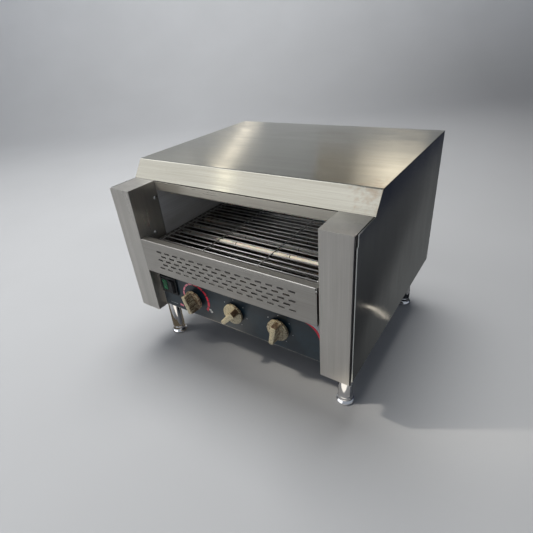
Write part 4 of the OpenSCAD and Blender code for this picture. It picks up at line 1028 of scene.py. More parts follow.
class HeaterSettings(bpy.types.PropertyGroup):
    """rows of quartz tubes"""
    lower_count: IntProperty(name="Lower tubes", description="Tubes under the belt",
                             default=7, min=1, max=8)
    upper_count: IntProperty(name="Upper tubes", description="Tubes above the belt",
                             default=5, min=1, max=6)
    lower_pitch: FloatProperty(name="Lower pitch", description="Between the tubes under the belt",
                               default=0.033, min=0.02, max=0.05, unit="LENGTH")
    upper_pitch: FloatProperty(name="Upper pitch", description="Between the tubes above the belt",
                               default=0.050, min=0.02, max=0.06, unit="LENGTH")


class TOASTER_OT_heaters(bpy.types.Operator):
    """Build the quartz tubes with their coil supports and terminals"""
    bl_idname = "toaster.heaters"
    bl_label = "Quartz heaters"

    def execute(self, context):
        sizes = context.scene.toaster_heaters
        tree = row_tree()
        for node, count, pitch in (("lower_heater_tubes", sizes.lower_count, sizes.lower_pitch),
                                   ("upper_heater_tubes", sizes.upper_count, sizes.upper_pitch)):
            low, high = node_mm(node)
            r, half = (high.z - low.z) / 2, high.x
            # coil supports show as thin dark rings through the glass
            rings, ring_half, pin, seal = (-161.0, -43.0, 75.0, 160.0), 0.8, 2.2, 1.3
            profile = [(0, -half + 2), (pin, -half), (r * 0.93, -half), (r, -half + 0.6)]
            for x in rings:
                profile += [(r, x - ring_half), (r, x + ring_half)]
            profile += [(r, half - 0.6), (r * 0.93, half), (pin, half), (0, half - 2)]
            bm = bmesh.new()
            add_lathe(bm, profile, (0, 0, 0), "x", 24)
            tube = model_piece(bm, "quartz_tube", lambda c: abs(c.x) > half - seal
                               or any(abs(c.x - x) < 0.5 for x in rings))
            row = marks_object(node + "_row", [(0, 0, 0)])
            run_tree(row, tree, {
                "Piece": tube, "Count": count, "First": placed(0, low.y + r, low.z + r),
                "Step": (0, pitch, 0), "Material": finish("frosted_quartz"),
                "Second material": finish("oiled_steel")})
            drop(tube)
            row.name = node + "_glass"
            hand_over(smooth(row), HOUSING, "quartz", node)
        return {"FINISHED"}


# ---------- conveyor and drive ----------

class BeltSettings(bpy.types.PropertyGroup):
    """sizes of the wire belt"""
    pitch: FloatProperty(name="Pitch", description="From one rod to the next",
                         default=0.0135, min=0.01, max=0.016, unit="LENGTH")
    rod: FloatProperty(name="Rod diameter", description="Diameter of a cross rod",
                       default=0.0025, min=0.0015, max=0.0035, unit="LENGTH")
    clip: FloatProperty(name="Clip wire",
                        description="Diameter of the wire of the clips that join the rods",
                        default=0.0015, min=0.0008, max=0.002, unit="LENGTH")


def belt_points(pitch):
    """the rods' places round the two shafts, as [x, y, z], from the front shaft's top"""
    _, front, z = node_middle("idler_shaft")
    rear = node_middle("drive_shaft")[1]
    half_turn = 5  # rods on half a turn round a shaft
    radius = pitch / (2 * sin(pi / (2 * half_turn)))
    run = round((rear - front) / pitch)
    sweep = -180 * (half_turn - 1) / half_turn
    path = [(front + i * pitch, z + radius) for i in range(run)]
    path += arc((rear, z), radius, 90, sweep, half_turn - 1)
    path += [(rear - i * pitch, z - radius) for i in range(run)]
    path += arc((front, z), radius, -90, sweep, half_turn - 1)
    return [(0, y, z) for y, z in path]


def wire_clip(pitch, wrap, wire):
    """a clip that hooks round one rod and round the next, along +y"""
    points = []
    for x, y, start in ((-1.5, 0, -50), (0.3, pitch, 90)):
        hook = arc((y, 0), wrap, start, -220, 6)
        points += [(x + 0.2 * i, along, up) for i, (along, up) in enumerate(hook)]
    bm = bmesh.new()
    add_wire(bm, points, wire / 2, 5)
    return model_piece(bm, "belt_clip")


class TOASTER_OT_belt(bpy.types.Operator):
    """Build the wire belt, its rods and clips, round both shafts"""
    bl_idname = "toaster.belt"
    bl_label = "Wire belt"

    def execute(self, context):
        sizes = context.scene.toaster_belt
        pitch, rod, wire = sizes.pitch / MM, sizes.rod / MM, sizes.clip / MM
        half = node_mm("conveyor_belt")[1].x
        bm = bmesh.new()
        r = rod / 2
        add_lathe(bm, [(0, -half), (r * 0.7, -half + 0.1), (r, -half + 0.6), (r, half - 0.6),
                       (r * 0.7, half - 0.1), (0, half)], (0, 0, 0), "x", 8)
        cross = model_piece(bm, "belt_rod")
        clip = wire_clip(pitch, r + wire / 2, wire)
        clip_lines = (-165.5, -62, 57, 165.5)
        rows = marks_object("clip_rows", [(x, -FRONT / MM, 0) for x in clip_lines])
        loop = marks_object("wire_belt", belt_points(pitch), closed=True)
        run_tree(loop, loop_tree(), {
            "Cross piece": cross, "Link": clip, "Link rows": rows,
            "Material": finish("belt_wire"), "Second material": finish("belt_wire")})
        drop(cross, clip, rows)
        hand_over(smooth(loop, 50), HOUSING, "belt_wire", "conveyor_belt")
        return {"FINISHED"}


def chain_points(pitch):
    """pins of the drive chain, evenly spaced round the motor's wheel and the shaft's wheel"""
    x = node_middle("drive_chain")[0]
    centres = [node_middle(node)[1:] for node in ("motor_chain_wheel", "driven_chain_wheel")]
    radii = [pitch / (2 * sin(pi / teeth)) for teeth in (12, 24)]
    (ay, az), (by, bz) = centres
    length = hypot(by - ay, bz - az)
    along = atan2(bz - az, by - ay)
    off = pi / 2 + (radii[1] - radii[0]) / length
    path = []
    for (cy, cz), r, start, sweep in (((ay, az), radii[0], along + off, 2 * pi - 2 * off),
                                      ((by, bz), radii[1], along - off, 2 * off)):
        path += [(cy + r * cos(start + sweep * i / 60), cz + r * sin(start + sweep * i / 60))
                 for i in range(61)]
    path.append(path[0])
    lengths = [hypot(q[0] - p[0], q[1] - p[1]) for p, q in zip(path, path[1:])]
    count = round(sum(lengths) / pitch)
    step = sum(lengths) / count
    points, done, k = [], 0.0, 0
    for i in range(count):
        while done + lengths[k] < i * step:
            done += lengths[k]
            k += 1
        share = (i * step - done) / lengths[k]
        points.append((x, path[k][0] + share * (path[k + 1][0] - path[k][0]),
                       path[k][1] + share * (path[k + 1][1] - path[k][1])))
    return points, step


class TOASTER_OT_drive(bpy.types.Operator):
    """Build the drive chain and finish the shafts, wheels, bushes, motor and bracket"""
    bl_idname = "toaster.drive"
    bl_label = "Chain drive"

    def execute(self, context):
        quarter_inch = 6.35
        points, step = chain_points(quarter_inch)
        bm = bmesh.new()
        add_lathe(bm, [(0, -2.45), (0.9, -2.45), (0.9, -1.5), (1.6, -1.5), (1.6, 1.5), (0.9, 1.5),
                       (0.9, 2.45), (0, 2.45)], (0, 0, 0), "x", 8)
        pin = model_piece(bm, "chain_pin")
        bm = bmesh.new()
        plate_end, thick, inner_plate, outer_plate = 2.4, 0.75, -2.3, 1.55
        plate = arc((0, 0), plate_end, 90, 180, 4) + arc((step, 0), plate_end, -90, 180, 4)
        for x in (inner_plate, outer_plate):
            add_prism(bm, plate, x, x + thick, "x")
        link = model_piece(bm, "chain_plates")
        rows = marks_object("chain_row", [(0, -FRONT / MM, 0)])
        loop = marks_object("roller_chain", points, closed=True)
        run_tree(loop, loop_tree(), {
            "Cross piece": pin, "Link": link, "Link rows": rows,
            "Material": finish("oiled_steel"), "Second material": finish("oiled_steel")})
        drop(pin, link, rows)
        hand_over(smooth(loop, 40), HOUSING, "chain_steel", "drive_chain")
        for material, nodes in {
                "polished_bar": ("drive_shaft", "idler_shaft", "belt_frame_ties", "speed_spindle",
                                 "upper_heat_spindle", "lower_heat_spindle"),
                "oiled_steel": ("drive_belt_wheels", "idler_belt_wheels", "driven_chain_wheel",
                                "motor_chain_wheel"),
                "sintered_bronze": ("shaft_bushes",),
                "motor_enamel": ("gear_motor",),
                "plain_steel": ("motor_bracket", "leg_bolts"),
                "black_nylon": ("speed_controller",),
                "steatite": ("tube_holders", "upper_heat_switch", "lower_heat_switch",
                             "terminal_block")}.items():
            for node in nodes:
                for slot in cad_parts[node].material_slots:
                    slot.material = finish(material)
        return {"FINISHED"}


# ---------- controls ----------

class KnobSettings(bpy.types.PropertyGroup):
    """sizes of the three knobs"""
    disc: FloatProperty(name="Disc diameter", description="Diameter of a knob's disc",
                        default=0.040, min=0.03, max=0.05, unit="LENGTH")
    grip_width: FloatProperty(name="Grip width", description="Width of the bar grip",
                              default=0.011, min=0.007, max=0.014, unit="LENGTH")
    grip_height: FloatProperty(name="Grip height", description="Height of the grip above the disc",
                               default=0.0159, min=0.008, max=0.02, unit="LENGTH")


def knob_piece(name, node, tip_degrees, grime, sizes):
    """a disc with a bar grip: flared foot, rounded nose, square tail and a white dot at the tail"""
    thick, nose_end, tail_end, tail_flat = 5, 19.45, 18.9, 0.0178
    tail_corner, tip_corner = 0.7, (3.4, 3.0)
    # how brown each part is, from grime and painted shade; the first three are shares of the knob's
    # own grime
    disc_face, grip_top, grip_foot, rim, tail_face = 1.3, 0.3, 0.25, 0.55, 1.0
    middle_x, _, middle_z = node_middle(node)
    disc_front = node_mm(node)[1].y - thick
    r, wide, rise = sizes.disc / MM / 2, sizes.grip_width / MM / 2, sizes.grip_height / MM
    c, s = cos(radians(tip_degrees)), sin(radians(tip_degrees))

    def at(u, v, h):
        return placed(middle_x + u * c - v * s, disc_front - h, middle_z + u * s + v * c)

    bm = bmesh.new()
    levels = bm.faces.layers.float.new("grime")
    for face in add_lathe(bm, [(0, thick), (9.5, thick), (r - 0.9, thick), (r - 0.2, 4.6),
                               (r, 3.9), (r, 1.1), (r - 0.25, 0.4), (r - 0.9, 0.05), (r - 2, 0),
                               (0, 0)], (middle_x, disc_front, middle_z), "y", 72):
        # the disc's rim is painted darker than its face, as shade
        middle = face.calc_center_median()
        front = (middle.y - FRONT) / MM < disc_front + 0.6
        face[levels] = grime * disc_face if front else rim
    rings = []
    # the grip from foot to top: height, how far out of its width, how far short of its ends
    for h, out, short in ((-0.4, 1.6, 0.0), (0.35, 0.9, 0.0), (1.1, 0.35, 0.15), (2.4, 0.05, 0.3),
                          (9.0, -0.12, 0.45), (rise - 1.5, -0.3, 0.6), (rise - 0.75, -0.45, 0.75),
                          (rise - 0.25, -0.85, 1.1), (rise, -1.6, 1.8)):
        w = wide + out
        nose, tail, tip_w = nose_end - short, tail_end - short, w - 0.7
        tail_in, nose_in = tail_corner - tail, nose - tip_corner[0]
        # tail corners are nearly square, the nose is round and a little narrower
        ring = arc((tail_in, tail_corner - w), tail_corner, 270, -90, 3)
        ring += arc((tail_in, w - tail_corner), tail_corner, 180, -90, 3)
        ring += arc((nose_in, tip_w - tip_corner[1]), tip_corner, 90, -90, 6)
        ring += arc((nose_in, tip_corner[1] - tip_w), tip_corner, 0, -90, 6)
        rings.append([bm.verts.new(at(u, v, h)) for u, v in ring])
    # the grip's sides and tail face are painted darker than its top, as shade
    for k, (a, b) in enumerate(zip(rings, rings[1:])):
        for face in join_rings(bm, a, b):
            out = face.calc_center_median() - at(0, 0, 0)
            at_tail = out.x * c + out.z * s < -tail_flat
            face[levels] = (grime * grip_top if k > 5 else tail_face if at_tail
                            else 0.42 + 0.5 * grime)
    for ring in (rings[0], rings[-1]):
        bm.faces.new(ring)[levels] = grime * grip_foot
    # the dot of white paint
    spot = arc((-13.4, 0), 1.35, 0, 342, 19)
    ends = [[bm.verts.new(at(u, v, rise + h)) for u, v in spot] for h in (-0.2, 0.06)]
    for face in join_rings(bm, *ends) + [bm.faces.new(ring) for ring in ends]:
        face.material_index = 1
    return smooth(from_bmesh(bm, name), 32)


class TOASTER_OT_knobs(bpy.types.Operator):
    """Build the speed knob and the two heat knobs"""
    bl_idname = "toaster.knobs"
    bl_label = "Knobs"

    def execute(self, context):
        sizes = context.scene.toaster_knobs
        # each knob's brownness is partly grime and partly painted shade
        for node, body, tip, grime in (("speed_knob", "speed_dial", 110.0, 0.62),
                                       ("upper_heat_knob", "upper_heat_dial", 225.0, 0.05),
                                       ("lower_heat_knob", "lower_heat_dial", 258.0, 0.34)):
            obj = knob_piece(node + "_moulding", node, tip, grime, sizes)
            hand_over(obj, body, "knob_plastic", node, materials=["browned_bakelite", "white_ink"])
        return {"FINISHED"}


def arc_band(centre, inner, outer, start, end, steps):
    """outline of a curved band between two angles in degrees; each radius may change on the way"""
    points = []
    for k, radii in enumerate((outer, inner)):
        for i in range(steps + 1):
            share = i / steps if k == 0 else 1 - i / steps
            a = radians(start + (end - start) * share)
            r = radii[0] + (radii[1] - radii[0]) * share
            points.append((centre[0] + r * cos(a), centre[1] + r * sin(a)))
    return points


class TOASTER_OT_fascia(bpy.types.Operator):
    """Build the control fascia and its printed scale, dots and corner sweep"""
    bl_idname = "toaster.fascia"
    bl_label = "Control fascia"

    def execute(self, context):
        obj = sheet_from_node("control_fascia_film", "control_fascia", 0.12)
        hand_over(obj, HOUSING, "black_fascia", "control_fascia", materials=["fascia_film"])
        low, high = node_mm("control_fascia")
        inks = {name: bmesh.new() for name in ("red_ink", "pink_ink", "white_ink", "grey_ink")}

        def ink(name, outline):
            add_prism(inks[name], outline, low.y - 0.06, low.y + 0.05, "y")

        centres = [(x, z) for x, _, z in map(node_middle, (
            "speed_knob", "upper_heat_knob", "lower_heat_knob"))]
        # the speed scale grows wider and redder as it goes round
        segments, start, end, reach = 11, 207.0, -43.0, 31.2
        for i in range(segments):
            a0, a1 = (start + (end - start) * (i + share) / segments for share in (0, 0.84))
            w0, w1 = (1.5 + 1.2 * (i + share) / segments for share in (0, 0.9))
            ink("pink_ink" if i < 5 else "red_ink", arc_band(
                centres[0], (reach - w0, reach - w1), (reach + w0, reach + w1), a0, a1, 6))
        # a plain mark at each end of the scale, and a thin line under the switch
        x, z = centres[0]
        for du, dv, name in ((33.0, -16.4, "white_ink"), (35.2, -19.4, "white_ink"),
                             (-46.5, -30.2, "pink_ink"), (-43.0, -30.6, "pink_ink")):
            ink(name, rounded_rectangle(5.6, 5.0, 1.6, 3, (x + du, z + dv)))
        ink("grey_ink", rounded_rectangle(19, 0.7, 0.3, 3, (x - 66, z - 31.5)))
        # seven dots round each heat knob, of which the first is the largest
        for centre in centres[1:]:
            for i, dot in enumerate(arc(centre, 26.5, 143.5, -360 * 6 / 7, 6)):
                size = 1.7 if i else 2.1
                ink("grey_ink", rounded_rectangle(size, size, size * 0.45, 3, dot))
        # corner sweep: a red band, and pale grey outside it up to the fascia's edge
        edge_x, top = high.x - 0.3, high.z - 0.3
        inner = arc((142, 146.5), 34.5, 96, -96, 16)
        outer = arc((156, 159), 20.4, 90, -90, 15)
        ink("red_ink", inner + outer[::-1] + [(132, 184)])
        ink("grey_ink", [(132, top), (132, 184.2), *outer, (177, 146), (edge_x, 140),
                         (edge_x, top)])
        for name, bm in inks.items():
            obj = smooth(from_bmesh(bm, "fascia_print_" + name.split("_")[0]))
            hand_over(obj, HOUSING, "black_fascia", materials=[name])
        return {"FINISHED"}


class TOASTER_OT_switch(bpy.types.Operator):
    """Build the power switch's housing, rocker and lens"""
    bl_idname = "toaster.switch"
    bl_label = "Power switch"

    def execute(self, context):
        obj = sheet_from_node("switch_housing_moulding", "switch_housing", 0.5)
        hand_over(obj, HOUSING, "black_plastic", "switch_housing", materials=["black_nylon"])
        rocker = sheet_from_node("power_rocker_moulding", "power_rocker", 0.45)
        hand_over(rocker, "power_switch", "rocker_green", "power_rocker", materials=["black_nylon"])
        # the lens covers the rocker's left slope, which is pressed in
        x, _, z = node_middle("switch_housing")
        pivot = node_mm("switch_housing")[0].y + 5.5
        pressed = Matrix.Rotation(radians(-8), 3, "Z")
        slope = Vector((-20.5, -3.5, 0)).normalized()
        outward = Vector((-slope.y, slope.x, 0))
        bm = bmesh.new()
        rings = []
        for lift, inset in ((-0.3, 0.0), (0.35, 0.0), (0.62, 0.25), (0.72, 0.9)):
            ring = []
            for u, v in rounded_rectangle(12.4 - 2 * inset, 22 - 2 * inset, 1.6 - inset * 0.5, 4):
                point = pressed @ (Vector((0, -6, v)) + slope * (7.9 + u) + outward * lift)
                ring.append(bm.verts.new(placed(x + point.x, pivot + point.y, z + point.z)))
            rings.append(ring)
        for a, b in zip(rings, rings[1:]):
            join_rings(bm, a, b)
        bm.faces.new(rings[0])
        bm.faces.new(rings[-1])
        lens = smooth(from_bmesh(bm, "rocker_lens"), 50)
        hand_over(lens, "power_switch", "rocker_green", materials=["green_lens"])
        return {"FINISHED"}


# ---------- legs, screws and tray ----------

class TOASTER_OT_legs(bpy.types.Operator):
    """Build the leg tubes and the levelling feet"""
    bl_idname = "toaster.legs"
    bl_label = "Legs and feet"

    def execute(self, context):
        for place, body in (("front_left", "level_foot_fl"), ("front_right", "level_foot_fr"),
                            ("rear_left", "level_foot_rl"), ("rear_right", "level_foot_rr")):
            low, high = node_mm("leg_" + place)
            x, y, _ = node_middle("leg_" + place)
            r, bore = (high.x - low.x) / 2, 5.15
            bm = bmesh.new()
            add_lathe(bm, [(bore, low.z), (r - 0.9, low.z), (r - 0.25, low.z + 0.25),
                           (r, low.z + 0.9), (r, high.z), (bore, high.z), (bore, low.z)],
                      (x, y, 0), "z", 64)
            obj = smooth(from_bmesh(bm, "leg_tube_" + place), 50)
            hand_over(obj, HOUSING, "leg_chrome", "leg_" + place, materials=["leg_chrome"])
            bm = bmesh.new()
            # pad, waist, shoulder and stem
            add_lathe(bm, [(0, 0), (14.4, 0), (15.7, 0.35), (16.35, 1.1), (16.5, 2.0),
                           (16.35, 3.2), (15.8, 4.1), (14.6, 4.9), (13.3, 5.7), (12.4, 6.8),
                           (11.9, 8.2), (11.7, 9.6), (11.7, 12.2), (11.4, 13.8), (10.7, 14.8),
                           (9.8, 15.1), (5, 15.1), (5, 52.4), (4.2, 52.5), (0, 52.5)],
                      (x, y, 0), "z", 64)
            obj = smooth(from_bmesh(bm, "levelling_foot_" + place), 44)
            hand_over(obj, body, "leg_chrome", "foot_" + place, materials=["leg_chrome"])
        return {"FINISHED"}


class TOASTER_OT_screws(bpy.types.Operator):
    """Place the pan-head screws of the belt frame, pillars and rear panel"""
    bl_idname = "toaster.screws"
    bl_label = "Screws"

    def execute(self, context):
        # a domed head 8 mm wide on a 4 mm thread
        bm = bmesh.new()
        add_lathe(bm, [(0, 2.4), (1.6, 2.32), (2.8, 2.0), (3.6, 1.4), (3.95, 0.7), (4.0, 0.2),
                       (3.9, 0), (2, 0), (2, -5.6), (1.6, -6), (0, -6)], (0, 0, 0), "z", 24)
        head = from_bmesh(bm, "screw_blank")
        recess = bmesh.new()
        a, b = 0.45, 2.0  # half the width and half the span of the cross
        cross = [(a, b), (-a, b), (-a, a), (-b, a), (-b, -a), (-a, -a), (-a, -b), (a, -b),
                 (a, -a), (b, -a), (b, a), (a, a)]
        add_prism(recess, cross, 1.1, 3.5, "z")
        cut_away(head, from_bmesh(recess, "screw_recess"))
        bm = bmesh.new()
        bm.from_mesh(head.data)
        drop(head)
        screw = model_piece(bm, "pan_head_screw")
        # where the heads sit, on one side: belt frame, pillar and rear panel
        rear_face = 422.05
        places = [(178.95, y, 238.7) for y in (91, 221.5, 352.5)]
        places += [(183.95, 55, 324), (183.95, 37, 261)]
        places += [(226.5, rear_face, z) for z in (130, 205, 280, 364)]
        points, facings = [], []
        for side in (-1, 1):
            for x, y, z in places:
                points.append((side * x, y, z))
                facings.append((0, 1, 0) if y == rear_face else (-side, 0, 0))
        marks = marks_object("panel_screw_heads", points, facings)
        run_tree(marks, fasteners_tree(), {
            "Fastener": screw, "Seed": 7, "Material": finish("zinc_screw"),
            "Second material": finish("zinc_screw")})
        drop(screw)
        hand_over(smooth(marks, 40), HOUSING, "bright_steel", "panel_screws")
        return {"FINISHED"}


class TOASTER_OT_tray(bpy.types.Operator):
    """Build the crumb tray and its handle"""
    bl_idname = "toaster.tray"
    bl_label = "Crumb tray"

    def execute(self, context):
        obj = sheet_from_node("crumb_tray_sheet", "crumb_tray", 0.25)
        hand_over(obj, "tray", "bright_steel", "crumb_tray", materials=["bright_sheet"])
        low, high = node_mm("crumb_tray_handle")
        obj = sheet_from_node("crumb_tray_bow", "crumb_tray_handle", 0.5,
                              [("z", [(low.x, high.y), (high.x, high.y)], 4.0)])
        hand_over(obj, "tray", "shell_steel", "crumb_tray_handle", materials=["front_steel"])
        return {"FINISHED"}


# ---------- stage ----------

class StageSettings(bpy.types.PropertyGroup):
    """lights and backdrop"""
    paper: colour_setting("Paper", "Floor of the backdrop, on its paler side", "#bfc1c6")
    key_power: FloatProperty(name="Key light", description="Power of the large soft light",
                             default=112.0, min=0.0, max=500.0)
    world_level: FloatProperty(name="Room light",
                               description="Strength of the light from all round",
                               default=0.50, min=0.0, max=2.0)


def card(name, corners, colour, strength, fade=("X", 0.0, 1.0, 1.0)):
    """a glowing card that only shiny surfaces see, painting a reflection or highlight on the steel
    though it is no lamp; fade gives an axis, where the brightness starts from a share of its
    strength, where it is full, and that share"""
    mesh = bpy.data.meshes.new(name)
    mesh.from_pydata(corners, [], [tuple(range(len(corners)))])
    obj = new_object(name, mesh)
    tree, shader, place = start_material(name + "_cloth", {
        "Base Color": (0, 0, 0, 1), "Roughness": 1.0, "Specular IOR Level": 0.0,
        "Emission Color": linear(colour)})
    # a slight unevenness in the painted reflection
    noise = add(tree, "ShaderNodeTexNoise", {"Vector": place, "Scale": 2.0})
    level = add(tree, "ShaderNodeMapRange", {0: noise, 3: strength * 0.85, 4: strength * 1.15})
    axis, start, full, share = fade
    along = add(tree, "ShaderNodeSeparateXYZ", {0: place}).outputs[axis]
    faded = add(tree, "ShaderNodeMapRange", {0: along, 1: start, 2: full, 3: share, 4: 1.0})
    shown = add(tree, "ShaderNodeMath", {0: level, 1: faded}, operation="MULTIPLY")
    set_inputs(tree, shader, {"Emission Strength": shown})
    mesh.materials.append(finish(name + "_cloth"))
    obj.visible_camera = False
    obj.visible_diffuse = False
    obj.visible_shadow = False
    obj.visible_transmission = False
    return obj


def on_floor(*corners):
    """corners of a card that lies just above the floor, in millimetres"""
    return [placed(x, y, 2) for x, y in corners]


def overhead(point, reach, *aims):
    """corners of a card at some metres from a point, each in its own direction; an aim of
    (x, z) has length 1 and points to the back"""
    return [point + reach * Vector(aim if len(aim) == 3 else (
        aim[0], (1 - aim[0] * aim[0] - aim[1] * aim[1]) ** 0.5, aim[1])) for aim in aims]


class TOASTER_OT_stage(bpy.types.Operator):
    """Set the floor, backdrop, lights and camera"""
    bl_idname = "toaster.stage"
    bl_label = "Stage"

    def execute(self, context):
        sizes = context.scene.toaster_stage
        scene = context.scene
        scene.view_settings.view_transform = "Standard"

        # the camera stands to the front and right, and looks left and down
        camera = new_object("camera", bpy.data.cameras.new("camera"))
        camera.data.lens = 26.674
        camera.data.sensor_width = 36
        camera.data.sensor_fit = "HORIZONTAL"
        stand = (0.39502, -0.61855, 0.57378)
        turn, dip, roll = radians(36.317), radians(30.644), radians(-5.397)
        ahead = Vector((-sin(turn) * cos(dip), cos(turn) * cos(dip), -sin(dip)))
        level = ahead.cross(Vector((0, 0, 1))).normalized()
        right = level * cos(roll) + level.cross(ahead) * sin(roll)
        camera.matrix_world = Matrix.Translation(stand) @ Matrix(
            (right, right.cross(ahead), -ahead)).transposed().to_4x4()
        scene.camera = camera

        # one sweep of paper: floor, curve and wall, square to the line of sight
        floor_end, curve, wall_top, half_width = 2.2, 1.4, 4.5, 6.0
        profile = [(-4.0, 0.0), *arc((floor_end, curve), curve, -90, 90, 12),
                   (floor_end + curve, wall_top)]
        bm = bmesh.new()
        rows = [[bm.verts.new((-sin(turn) * depth + cos(turn) * side,
                               cos(turn) * depth + sin(turn) * side, height))
                 for side in (-half_width, half_width)] for depth, height in profile]
        for a, b in zip(rows, rows[1:]):
            bm.faces.new((a[0], a[1], b[1], b[0]))
        mesh = bpy.data.meshes.new("studio_sweep")
        bm.to_mesh(mesh)
        bm.free()
        mesh.shade_smooth()
        # the paper's tones paint the fall of light: darker to the right, paler up the wall
        backdrop_paper("backdrop_paper", sizes.paper, "#8f9094", "#f6f8fd")
        mesh.materials.append(finish("backdrop_paper"))
        new_object("studio_sweep", mesh)

        for name, place, size, power, colour in (
                ("key_softbox", (-0.4, 0.55, 3.2), 2.1, sizes.key_power, "#fffdf6"),
                ("front_fill", (-2.3, -1.6, 2.8), 1.2, sizes.key_power * 0.2, "#fffcf6")):
            light = bpy.data.lights.new(name, "AREA")
            light.shape = "DISK"
            light.size = size
            light.energy = power
            light.color = linear(colour)[:3]
            obj = new_object(name, light)
            obj.location = place
            aim = Vector((0, 0, 0.2)) - Vector(place)
            obj.rotation_euler = aim.to_track_quat("-Z", "Y").to_euler()
            # the steel mirrors the glowing cards below instead, which paint its reflections
            obj.visible_glossy = False

        # narrow lamps reach in under the hood: to the first tubes, and to the left inner wall
        for name, place, target, cone, share in (
                ("hood_lamp", (-2250, -1350, 2900), (20, 110, 255), 7.5, 3.9),
                ("wall_lamp", (1500, -1500, 900), (-180, 80, 285), 5.0, 0.32)):
            lamp = bpy.data.lights.new(name, "SPOT")
            lamp.energy = sizes.key_power * share
            lamp.spot_size, lamp.spot_blend, lamp.shadow_soft_size = radians(cone), 0.5, 0.12
            lamp.color = linear("#fff6e4")[:3]
            obj = new_object(name, lamp)
            obj.location = placed(*place)
            aim = placed(*target) - obj.location
            obj.rotation_euler = aim.to_track_quat("-Z", "Y").to_euler()
            obj.visible_glossy = False

        world = bpy.data.worlds.new("studio")
        world.use_nodes = True
        tree = world.node_tree
        ray = add(tree, "ShaderNodeTexCoord").outputs["Generated"]
        parts = add(tree, "ShaderNodeSeparateXYZ", {0: ray})
        height = add(tree, "ShaderNodeMapRange", {0: parts.outputs["Z"], 1: -0.1, 2: 0.9})
        tone = add(tree, "ShaderNodeMix", {0: height, 6: linear("#a6b1c2"), 7: linear("#d6dee8")},
                   data_type="RGBA")
        background = tree.nodes["Background"]
        # dull surfaces take half as much of the room's light as the steel mirrors, so the
        # shadow stays deep
        path = add(tree, "ShaderNodeLightPath")
        strength = add(tree, "ShaderNodeMath", {0: path.outputs["Is Diffuse Ray"],
                                                1: -0.5 * sizes.world_level, 2: sizes.world_level},
                       operation="MULTIPLY_ADD")
        set_inputs(tree, background, {"Color": tone.outputs[2], "Strength": strength})
        scene.world = world

        # glowing cards on the floor beside the right panel, which paint its reflection: pale, dark,
        # then darker
        edge = [(240, -250), (307, 229), (320, 322), (332, 443), (350, 595), (375, 802),
                (414, 1130), (474, 1563), (491, 2400)]
        card("near_cloth", on_floor((240, 2400), *edge), "#c8cacb", 0.22,
             ("Y", FRONT + 0.10, FRONT + 0.42, 0.4))
        card("dark_cloth", on_floor(*edge, (491, -500), (240, -500)), "#c8ccd2", 0.12,
             ("X", 0.28, 0.48, 0.35))
        card("far_cloth", on_floor((491, 3200), (491, -500), (3000, -500), (3000, 3200)),
             "#a0aacc", 0.07)
        card("far_screen", [placed(*corner) for corner in (
            (3000, -500, 0), (491, 3200, 0), (491, 3200, 900), (3000, -500, 900))],
             "#a0aacc", 0.07)
        # a painted glint: a small bright card that the right panel mirrors
        curve = [(334, 327), (322, 326), (309, 322), (294, 314), (280, 301)]
        card("glint", [placed(x, y - 5, 3) for x, y in curve]
             + [placed(x, y + 5, 3) for x, y in curve[::-1]], "#fff4e2", 1.25)
        # glowing cards behind and to the left, which paint highlights on the hood's top: a narrow
        # streak and a glow
        hood_top = placed(0, 250, 386)
        card("streak_card", overhead(hood_top, 2.1, (-0.592, 0.12), (-0.578, 0.12),
                                     (-0.690, 0.36), (-0.734, 0.36)), "#fff6e6", 3.1)
        card("glow_card", overhead(hood_top, 2.1, (-0.42, 0.255), (-0.10, 0.292),
                                   (-0.10, 0.44), (-0.42, 0.44)), "#fff4e2", 2.7,
             ("X", -0.66, -0.40, 0.155))
        # a painted reflection on the pillars' caps
        card("cap_card", overhead(hood_top, 2.1, (-0.86, 0.30), (-0.74, 0.27),
                                  (-0.74, 0.36), (-0.86, 0.36)), "#fffdf8", 1.3)
        # large glowing cards over the front left, which paint the reflection on the hood's slope,
        # with a painted bright spot
        card("slope_card", [(-2.6, -0.4, 0.9), (-0.5, -2.9, 0.9), (-0.4, -2.4, 3.2),
                            (-2.2, -0.3, 3.2)], "#fcfcff", 2.05)
        card("window_card", overhead(placed(0, 74, 370), 1.4, (-0.658, -0.52, 0.54),
                                     (-0.612, -0.54, 0.54), (-0.612, -0.42, 0.68),
                                     (-0.658, -0.40, 0.68)), "#fffbf2", 4.3)
        # a glowing strip overhead, which paints the thin bright highlights along folds and the
        # first rods
        card("overhead_strip", overhead(placed(0, 20, 260), 2.2, (-0.80, -0.18, 0.57),
                                        (-0.25, -0.32, 0.92), (-0.25, 0.16, 0.96),
                                        (-0.80, 0.16, 0.58)), "#f6f9ff", 4.2)
        # glowing cards on the floor round the legs, which paint the chromium's dark and bright
        # reflections
        card("leg_shade", on_floor((-150, 70), (200, 70), (200, 250), (238, 250), (238, 440),
                                   (-150, 440)), "#8d97a6", 0.03)
        card("left_shade", on_floor((-360, -40), (-182, 20), (-182, 260), (-360, 260)),
             "#b8a88f", 0.2)
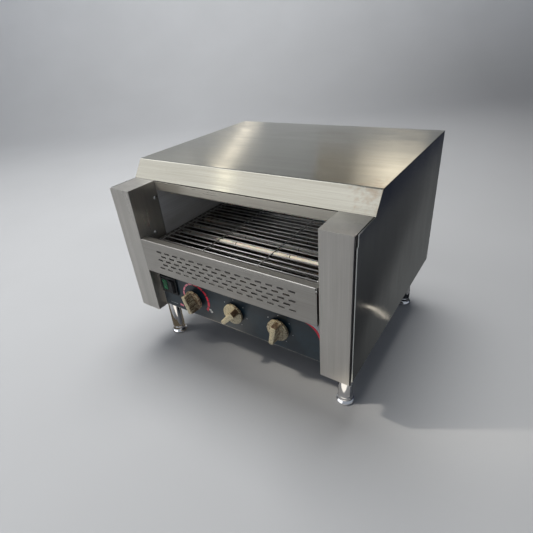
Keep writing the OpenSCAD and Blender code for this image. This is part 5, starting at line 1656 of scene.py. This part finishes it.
        # bright cards that paint the highlight strips on the front legs
        for name, x0, x1 in (("left_leg_glow", -165, -60), ("right_leg_glow", 178, 238)):
            card(name, on_floor((x0, -105), (x1, -105), (x1, 30), (x0, 30)), "#fff8ec", 1.2)
        return {"FINISHED"}


class TOASTER_PT_sidebar(bpy.types.Panel):
    """Lists the toaster's pieces, in the order in which they are built"""
    bl_idname = "TOASTER_PT_sidebar"
    bl_label = "Conveyor toaster"
    bl_space_type = "VIEW_3D"
    bl_region_type = "UI"
    bl_category = "Toaster"

    def draw(self, context):
        for group in GROUPS:
            settings = getattr(context.scene, group)
            box = self.layout.box()
            for key in settings.bl_rna.properties.keys():
                if key not in ("rna_type", "name"):
                    box.prop(settings, key)
        for operator in PIECES:
            self.layout.operator(operator.bl_idname)


GROUPS = {
    "toaster_finishes": FinishSettings, "toaster_shell": ShellSettings,
    "toaster_guard": GuardSettings, "toaster_heaters": HeaterSettings,
    "toaster_belt": BeltSettings, "toaster_knobs": KnobSettings, "toaster_stage": StageSettings,
}
PIECES = (
    TOASTER_OT_finishes, TOASTER_OT_shell, TOASTER_OT_guard, TOASTER_OT_rear, TOASTER_OT_chamber,
    TOASTER_OT_heaters, TOASTER_OT_belt, TOASTER_OT_drive, TOASTER_OT_knobs, TOASTER_OT_fascia,
    TOASTER_OT_switch, TOASTER_OT_legs, TOASTER_OT_screws, TOASTER_OT_tray, TOASTER_OT_stage,
)


def register():
    for group in GROUPS.values():
        bpy.utils.register_class(group)
    for piece in PIECES:
        bpy.utils.register_class(piece)
    bpy.utils.register_class(TOASTER_PT_sidebar)
    for name, group in GROUPS.items():
        setattr(bpy.types.Scene, name, PointerProperty(type=group))


def unregister():
    for name in GROUPS:
        delattr(bpy.types.Scene, name)
    bpy.utils.unregister_class(TOASTER_PT_sidebar)
    for piece in reversed(PIECES):
        bpy.utils.unregister_class(piece)
    for group in GROUPS.values():
        bpy.utils.unregister_class(group)


def main():
    register()
    for piece in PIECES:
        category, name = piece.bl_idname.split(".")
        getattr(getattr(bpy.ops, category), name)()


if __name__ == "__main__":
    main()
